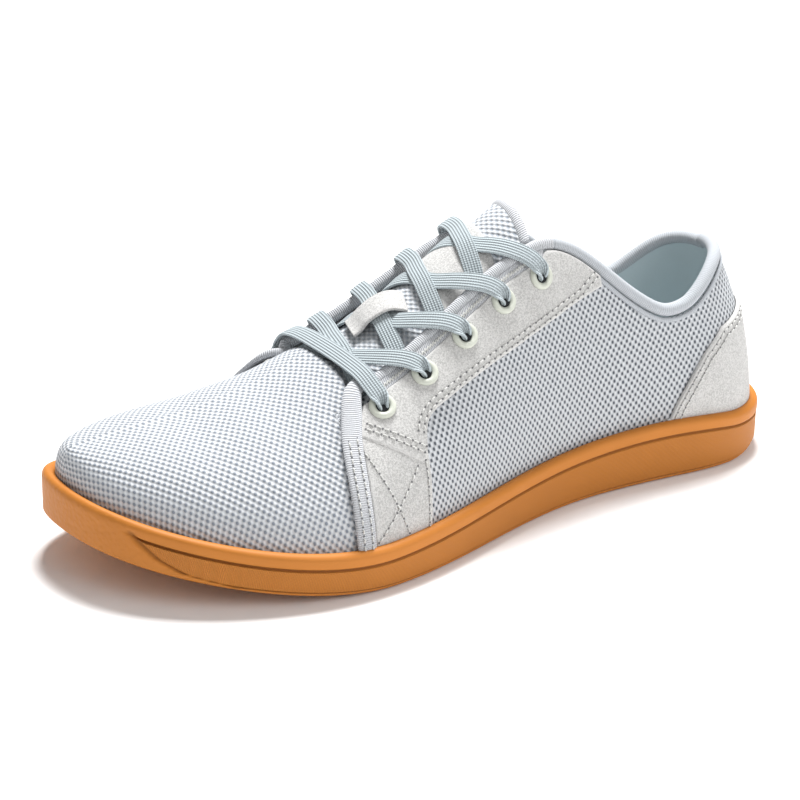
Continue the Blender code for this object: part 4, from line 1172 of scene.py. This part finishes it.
def build_bindings():
    """Rolled collar with a piped seam, and ribbed beads that flatten to tapes, with their wings.

    Each is a superellipse carried along a line on the last; a wing is an overlay that rises to its bead.
    """
    r, bead = sizes().collar_roll / 2, sizes().throat_bead / 2
    s, angle, half = rim_loop(COLLAR_CORNER)
    slim = step(ROLL_THINS, COLLAR_CORNER, half)
    slim = loop_of(slim, slim)
    size = r + (bead - r) * slim
    sink = FAR_SINK * step(80, 150, angle) * (1 - slim)
    centre, _ = beside(s, angle, ROLL_HEIGHT + (BEAD_HEIGHT - ROLL_HEIGHT) * slim, GAP + size - sink)
    _, n, _ = frame_at(s, angle)
    sheets = [grid_sheet(*tube(centre, *path_frame(centre, n), size, size))]
    s, angle, _ = rim_loop(STAY_REAR, 0.4, 90)
    centre, n = beside(s, angle, PIPE_OFF, -PIPE_OFF)
    sheets.append(grid_sheet(*tube(centre, *path_frame(centre, n), PIPE_WIDE, PIPE_THICK, 10)))
    made = [piece("collar_roll", sheets, [look("collar knit")], ("collar_binding",), True)]
    for side, medial in SIDES:
        centre, normal, flat = throat_path(medial, bead)
        half_wide, half_thick = bead + (TAPE_HALF - bead) * flat, bead + (TAPE_HALF_THICK - bead) * flat
        sheets = [grid_sheet(*tube(centre, *path_frame(centre, normal), half_wide, half_thick, 24, 2.4))]
        s = np.linspace(WING_FROM, WING_TO, 120)[:, None]
        wing = edge_angle(s) - WING - 0.3 + (WING + 1.2) * edged(8, 0.1)[None, :]
        at = placed(s, wing, medial)
        points, _ = overlay(*at, GAP, WING_THICK, WING_BORDER)
        raised = stand(s, medial) * np.linspace(0, 1, wing.shape[1])
        points += frame_at(*at)[1] * raised[..., None]
        sheets.append(grid_sheet(points, flip=not medial))
        made.append(piece(f"throat_tape_{side}", sheets, [look("tape")],
                          (f"throat_binding_{side}",), True))
    return made


def build_stitches():
    """Seams of thread with dark dots of painted shade at the needle holes: along eyestays, wings, tapes and
    counter.
    """
    made = []
    run, leg = RUN_BASE + RUN_THICK, GAP + LEG_THICK
    count = 131
    swing = np.where(np.arange(count) % 2, 0.75, -0.75)
    for side, medial in SIDES:
        rear = STAY_REAR + 0.004
        line = [(rear, edge_angle(rear) - 2.0)]
        line += [row for row in RUN_LOWER if RUN_SEWN[0] < row[0] < RUN_SEWN[1]]
        sheets = sewn(line, medial, run, EDGE_ROWS, 160)
        sheets += sewn([(station + LEG_ROW, angle) for angle, station in LEG_BACK[1:]], medial, leg, count=30)
        sheets += sewn(SEAM, medial, run, SEAM_ROWS, 60)
        for stroke in CROSS:
            sheets += sewn(stroke, medial, leg, count=40)
        for shift in (-TAPE_ROW, TAPE_ROW):
            tape = [(station + shift, angle) for station, angle, _ in TAPE_PATH[4:]]
            tape.append((TAPE_PATH[-1][0] + shift, 7.0))
            sheets += sewn(tape, medial, 0.0014 + TAPE_HALF_THICK, count=50)
        s = np.linspace(WING_FROM + 0.006, WING_TO - 0.006, count)
        at, angle = placed(s, edge_angle(s) - WING / 2 + 0.1 + swing, medial)
        sheets += zigzag(*beside(at, angle, GAP + WING_THICK, 0.0))
        made.append(piece(f"stitches_{side}", sheets, [look("sewing"), look("needle")],
                          (f"eyestay_{side}",)))
    sheets = []
    for medial in (False, True):
        sheets += sewn(COUNTER_TOP, medial, GAP + OVERLAY, COUNTER_ROWS, 110)
    made.append(piece("stitches_heel", sheets, [look("sewing"), look("needle")], ("heel_counter",)))
    return made


def zigzag(points, normals):
    """Thread laid to and fro: one small tube, arched as a sine, from each point to the next."""
    r = sizes().stitch_radius * 0.8
    first, last, out = points[:-1], points[1:], unit(normals[:-1] + normals[1:])
    u = np.linspace(0, 1, 4)
    centre = first[:, None] + (last - first)[:, None] * u[None, :, None]
    centre = centre + out[:, None] * (r * (1.4 * np.sin(math.pi * u) - 0.4))[None, :, None]
    wide = unit(np.cross(out, unit(last - first)))
    thin = (r * np.array([0.5, 1.0, 1.0, 0.5]))[None, :, None, None]
    return [grid_sheet(hoops(centre, wide[:, None], out[:, None], thin))]


def tongue_height(s, degrees):
    """Height of the tongue's outer face over the last."""
    crown = TONGUE_CROWN * np.cos(np.radians(np.clip((degrees - 90) * 2.2, -90, 90))) ** 2
    return TONGUE_THICKNESS * spline(TONGUE, s, 2) + crown * np.clip((CROWN_END - s) / CROWN_FADE, 0, 1)


def tongue_grid(s, angle, lift_by):
    """Points at a height over the tongue's outer face."""
    s, angle = np.broadcast_arrays(s, angle)
    return offset(s, angle, tongue_height(s, angle) + lift_by)


def build_tongue():
    """Knit tongue with a bound top, a suede patch and a suede keeper for the laces."""
    s = np.linspace(TONGUE[0][0], TONGUE[-1][0], 100)[:, None]
    angle = 90 + spline(TONGUE, s, 1) * np.linspace(-1, 1, 60)[None, :]
    p, back = tongue_grid(s, angle, 0.0), tongue_grid(s, angle, -TONGUE_THICKNESS)
    edges = [np.stack([p[:, k], back[:, k]], 1) for k in (0, -1)]
    edges += [np.stack([p[k], back[k]]) for k in (0, -1)]
    sheets = [grid_sheet(p, flattened(p)), grid_sheet(back)] + [grid_sheet(e) for e in edges]
    made = [piece("tongue_knit", sheets, [look("tongue knit")], ("tongue",), True)]
    top, half, _ = TONGUE[0]
    angle = 90 + half * np.linspace(-1, 1, 40)
    edge, below = (tongue_grid(q, angle, 0.0) for q in (top, TONGUE[1][0]))
    back = unit(edge - below)
    out = unit(np.cross(unit(np.gradient(edge, axis=0)), back))
    out *= np.sign(out[:, 2:])
    centre = edge - out * TONGUE_THICKNESS / 2 + back * 0.0008
    tape = grid_sheet(*tube(centre, out, back, TONGUE_TAPE_WIDE, TONGUE_TAPE_THICK, 24))
    made.append(piece("tongue_tape", [tape], [look("tape")], ("tongue_binding",), True))
    s = PATCH_FROM + (PATCH_TO - PATCH_FROM) * edged(20, 0.03)[:, None]
    angle = 90 + (spline(TONGUE, s, 1) - 2.0) * (2 * edged(30, 0.03)[None, :] - 1)
    full, d = rounded(tongue_grid(s, angle, 0.0), PATCH_BORDER)
    # The patch's rounded border is marked for a painted highlight.
    mask = (1 - step(PATCH_BORDER, 0.0013, d))[..., None]
    patch = grid_sheet(tongue_grid(s, angle, PATCH_THICK * full), masks=mask)
    made.append(piece("tongue_patch_suede", [patch], [look("suede")], ("tongue_patch",),
                      mask_names=("edge",)))
    rows = np.array(KEEPER)
    d = np.r_[0, np.cumsum(np.hypot(np.diff(rows[:, 0]) * SOLE_LENGTH * 1000, np.diff(rows[:, 2])))]
    t = np.linspace(0, d[-1], 60)
    s, angle, rise = (spline(np.c_[d, rows[:, k]], t) for k in range(3))
    centre, n = beside(s, angle, rise * 0.001, 0.0)
    p, uv = tube(centre, *path_frame(centre, n), KEEPER_WIDE, KEEPER_THICK, 28, 5.0)
    strap = grid_sheet(p, uv, masks=np.zeros((*p.shape[:2], 1)))
    made.append(piece("keeper_suede", [strap], [look("suede")], ("lace_keeper",), True, ("edge",)))
    return made


def seats():
    """Name, point and normal of each eyelet, lateral row first, from the top down."""
    s = EYELET_TOP + EYELET_PITCH * np.arange(EYELET_ROWS)
    found = []
    for side, medial in SIDES:
        p, n, _ = frame_at(*placed(s, EYELET_ANGLE, medial))
        found += [(f"eyelet_{side}_{k + 1}", p[k], n[k]) for k in range(EYELET_ROWS)]
    return found


def build_eyelets():
    """Lacquered rings: a half round turned about each eyelet's axis, with a barrel down its hole."""
    outer, hole = sizes().eyelet_diameter / 2, sizes().eyelet_hole / 2
    t = np.linspace(0, math.pi, 12)
    middle, half = (outer + hole) / 2, (outer - hole) / 2
    r = np.r_[middle + half * np.cos(t), hole, hole]
    z = np.r_[RING_HEIGHT * np.sin(t), -RING_DEPTH, -BARREL_DEPTH]
    turn = np.linspace(0, 2 * math.pi, 41)
    ring = np.stack([r[:, None] * np.cos(turn), r[:, None] * np.sin(turn), z[:, None] + 0 * turn], -1)
    # A dark disc low in each hole: painted shade inside the eyelet.
    shade_disc = np.stack([hole * np.cos(turn), hole * np.sin(turn), SHADE_DISC_HEIGHT + 0 * turn], -1)
    shade_disc = np.stack([shade_disc, [0, 0, SHADE_DISC_HEIGHT] + 0 * shade_disc])
    sheets, names = [], []
    for name, p, n in seats():
        spin = np.array(Vector((0, 0, 1)).rotation_difference(Vector(n)).to_matrix())
        seat = p + n * (OVERLAY + 2 * GAP)
        sheets += [grid_sheet(seat + ring @ spin.T), grid_sheet(seat + shade_disc @ spin.T, material=1)]
        names.append(name)
    return [piece("eyelet_rings", sheets, [look("eyelet"), look("hole")], names)]


def lace(points, normals):
    """Flat lace along smooth points: a superellipse bent to an arc, which closes towards its end's eyelet."""
    count = 100
    centre = resample(points, count)
    at, where = lengths(centre), lengths(points)
    n = unit(read(at, where, normals))
    tangent = unit(np.gradient(centre, axis=0))
    wide = np.cross(n, tangent)
    firm = np.linalg.norm(wide, axis=1)
    wide = unit(wide)
    # where the lace dives its normal gives no direction across it, so that of the step before is kept
    for i in range(1, count):
        if firm[i] < 0.75 or np.dot(wide[i], wide[i - 1]) < 0.3:
            wide[i] = unit(wide[i - 1] - tangent[i] * np.dot(wide[i - 1], tangent[i]))
    out = unit(np.cross(tangent, wide))
    half, thick = sizes().lace_width / 2, sizes().lace_thickness / 2
    a = np.linspace(0, 2 * math.pi, 57)
    x = half * np.sign(np.cos(a)) * np.abs(np.cos(a)) ** 0.5
    z = thick * np.sign(np.sin(a)) * np.abs(np.sin(a)) ** 0.7
    curl = np.maximum((1 - step(CURL_FULL, CURL_FROM, at[-1] - at)) / CURL_RADIUS, 1e-3)[:, None]
    bend = x[None, :] * curl
    across = np.sin(bend) / curl - z[None, :] * np.sin(bend)
    rise = (1 - np.cos(bend)) / curl + z[None, :] * np.cos(bend)
    p = centre[:, None] + wide[:, None] * across[..., None] + out[:, None] * rise[..., None]
    uv = np.stack([at[:, None] + 0 * across, np.broadcast_to(x, across.shape)], -1)
    return grid_sheet(*capped(centre, p, uv))


def build_laces():
    """One lace: a bar over the lowest eyelets, and crossings from under an edge to the eyelet opposite."""
    rows = EYELET_TOP + EYELET_PITCH * np.arange(EYELET_ROWS)
    opposite = placed(rows, EYELET_ANGLE, True)[0]
    sheets = []

    def run(path):
        """Lace along rows of station, angle and height."""
        p, n, _ = frame_at(path[:, 0], path[:, 1])
        return lace(p + n * path[:, 2:3] * 0.001, n)

    for k in range(EYELET_ROWS - 1):
        over = np.vstack([LACE_OVER, LACE_DIVE])
        over[:, 0] += opposite[k] + OVER_SHIFT[k] * np.clip(over[:, 0] / LACE_OVER[0][0], 0, 1)
        under = np.vstack([LACE_UNDER, LACE_DIVE])
        under[:, 0] = np.minimum(under[:, 0] + rows[k], UNDER_LAST)
        under[:, 1] = 180 - under[:, 1]
        sheets += [run(under), run(over)]
    bar = np.array(LACE_BAR)
    middle = len(bar) // 2
    near = np.vstack([bar[middle::-1], [(rows[-1], 180 - b, c) for _, b, c in LACE_DIVE]])
    far = np.vstack([bar[middle:], [(opposite[-1], b, c) for _, b, c in LACE_DIVE]])
    sheets += [run(near), run(far)]
    names = [f"lace_cross_{k}" for k in range(1, EYELET_ROWS)] + ["lace_bar"]
    return [piece("laces", sheets, [look("lace")], names, True)]


def build_stage():
    """Pale floor, soft lights and the camera at the photograph's angle."""
    scene = bpy.context.scene
    scene.view_settings.view_transform = "Standard"
    corners = [(x * FLOOR_HALF, y * FLOOR_HALF, 0) for x, y in ((-1, -1), (1, -1), (1, 1), (-1, 1))]
    mesh = bpy.data.meshes.new("floor")
    mesh.from_pydata(corners, [], [(0, 1, 2, 3)])
    mesh.materials.append(plain("floor", (FLOOR_TONE,) * 3, 0.9, 0.1))
    floor = bpy.data.objects.new("floor", mesh)
    scene.collection.objects.link(floor)
    staged = [floor]
    world = bpy.data.worlds.new("studio")
    world.use_nodes = True
    background = world.node_tree.nodes["Background"]
    background.inputs["Color"].default_value = (1, 1, 1, 1)
    background.inputs["Strength"].default_value = WORLD_LIGHT
    scene.world = world
    for name, place, width, power in LIGHTS:
        data = bpy.data.lights.new(name, "AREA")
        data.size, data.energy = width, power
        light = bpy.data.objects.new(name, data)
        light.location = place
        light.rotation_mode = "QUATERNION"
        light.rotation_quaternion = (-Vector(place)).to_track_quat("-Z", "Y")
        scene.collection.objects.link(light)
        staged.append(light)
    azimuth, elevation, roll = (math.radians(x) for x in CAMERA_TURN)
    flat = math.cos(elevation)
    back = Vector((math.sin(azimuth) * flat, math.cos(azimuth) * flat, math.sin(elevation)))
    right = Vector((0, 0, 1)).cross(back).normalized()
    up = back.cross(right)
    across = right * math.cos(roll) + up * math.sin(roll)
    over = up * math.cos(roll) - right * math.sin(roll)
    camera = bpy.data.cameras.new("camera")
    camera.sensor_width, camera.lens = SENSOR, FOCAL_PIXELS / PHOTO_WIDTH * SENSOR
    eye = bpy.data.objects.new("camera", camera)
    place = Vector((AIM_X, AXIS_Y, AIM_Z)) + back * CAMERA_DISTANCE
    eye.matrix_world = Matrix.Translation(place) @ Matrix((across, over, back)).transposed().to_4x4()
    scene.collection.objects.link(eye)
    scene.camera = eye
    staged.append(eye)
    return staged


def build(label, made):
    """Result of an operator; a build step that made nothing is an error."""
    if not made:
        raise RuntimeError(f"{label}: nothing was made")
    return {"FINISHED"}


class SHOE_OT_sole(bpy.types.Operator):
    """Build the gum cup sole"""

    bl_idname = "shoe.sole"
    bl_label = "Sole"

    def execute(self, context):
        return build(self.bl_label, build_sole())


class SHOE_OT_insole(bpy.types.Operator):
    """Build the insole's cover"""

    bl_idname = "shoe.insole"
    bl_label = "Insole"

    def execute(self, context):
        return build(self.bl_label, build_insole())


class SHOE_OT_upper(bpy.types.Operator):
    """Build quarters, vamp and lining"""

    bl_idname = "shoe.upper"
    bl_label = "Upper"

    def execute(self, context):
        return build(self.bl_label, build_upper())


class SHOE_OT_eyestays(bpy.types.Operator):
    """Build the suede eyestays"""

    bl_idname = "shoe.eyestays"
    bl_label = "Eyestays"

    def execute(self, context):
        return build(self.bl_label, build_eyestays())


class SHOE_OT_counter(bpy.types.Operator):
    """Build the suede heel counter"""

    bl_idname = "shoe.counter"
    bl_label = "Counter"

    def execute(self, context):
        return build(self.bl_label, build_counter())


class SHOE_OT_bindings(bpy.types.Operator):
    """Build collar roll, throat beads and tapes"""

    bl_idname = "shoe.bindings"
    bl_label = "Bindings"

    def execute(self, context):
        return build(self.bl_label, build_bindings())


class SHOE_OT_tongue(bpy.types.Operator):
    """Build tongue, patch and keeper"""

    bl_idname = "shoe.tongue"
    bl_label = "Tongue"

    def execute(self, context):
        return build(self.bl_label, build_tongue())


class SHOE_OT_eyelets(bpy.types.Operator):
    """Build the eyelet rings"""

    bl_idname = "shoe.eyelets"
    bl_label = "Eyelets"

    def execute(self, context):
        return build(self.bl_label, build_eyelets())


class SHOE_OT_laces(bpy.types.Operator):
    """Build the flat laces"""

    bl_idname = "shoe.laces"
    bl_label = "Laces"

    def execute(self, context):
        return build(self.bl_label, build_laces())


class SHOE_OT_stitches(bpy.types.Operator):
    """Build the seams of thread"""

    bl_idname = "shoe.stitches"
    bl_label = "Stitches"

    def execute(self, context):
        return build(self.bl_label, build_stitches())


class SHOE_OT_stage(bpy.types.Operator):
    """Build floor, lights and camera"""

    bl_idname = "shoe.stage"
    bl_label = "Stage"

    def execute(self, context):
        return build(self.bl_label, build_stage())


OPERATORS = [
    SHOE_OT_sole, SHOE_OT_insole, SHOE_OT_upper, SHOE_OT_eyestays, SHOE_OT_counter,
    SHOE_OT_bindings, SHOE_OT_tongue, SHOE_OT_eyelets, SHOE_OT_laces, SHOE_OT_stitches,
    SHOE_OT_stage]


class SHOE_PT_panel(bpy.types.Panel):
    """Sizes, colours and build steps of the shoe."""

    bl_idname = "SHOE_PT_panel"
    bl_label = "Barefoot shoe"
    bl_space_type = "VIEW_3D"
    bl_region_type = "UI"
    bl_category = "Shoe"

    def draw(self, context):
        """Sizes and colours first, then a button for each piece."""
        for group in (context.scene.shoe_sizes, context.scene.shoe_colours):
            for name in group.__class__.__annotations__:
                self.layout.prop(group, name)
        for cls in OPERATORS:
            self.layout.operator(cls.bl_idname)


CLASSES = [ShoeSizes, ShoeColours, *OPERATORS, SHOE_PT_panel]


def register():
    """Registers the classes and gives the scene its sizes and colours."""
    for cls in CLASSES:
        bpy.utils.register_class(cls)
    bpy.types.Scene.shoe_sizes = PointerProperty(type=ShoeSizes)
    bpy.types.Scene.shoe_colours = PointerProperty(type=ShoeColours)


def unregister():
    """Takes the sizes, the colours and the classes away again."""
    del bpy.types.Scene.shoe_colours
    del bpy.types.Scene.shoe_sizes
    for cls in reversed(CLASSES):
        bpy.utils.unregister_class(cls)


def main():
    """Builds every piece."""
    register()
    for cls in OPERATORS:
        group, key = cls.bl_idname.split(".")
        getattr(getattr(bpy.ops, group), key)()


if __name__ == "__main__":
    main()
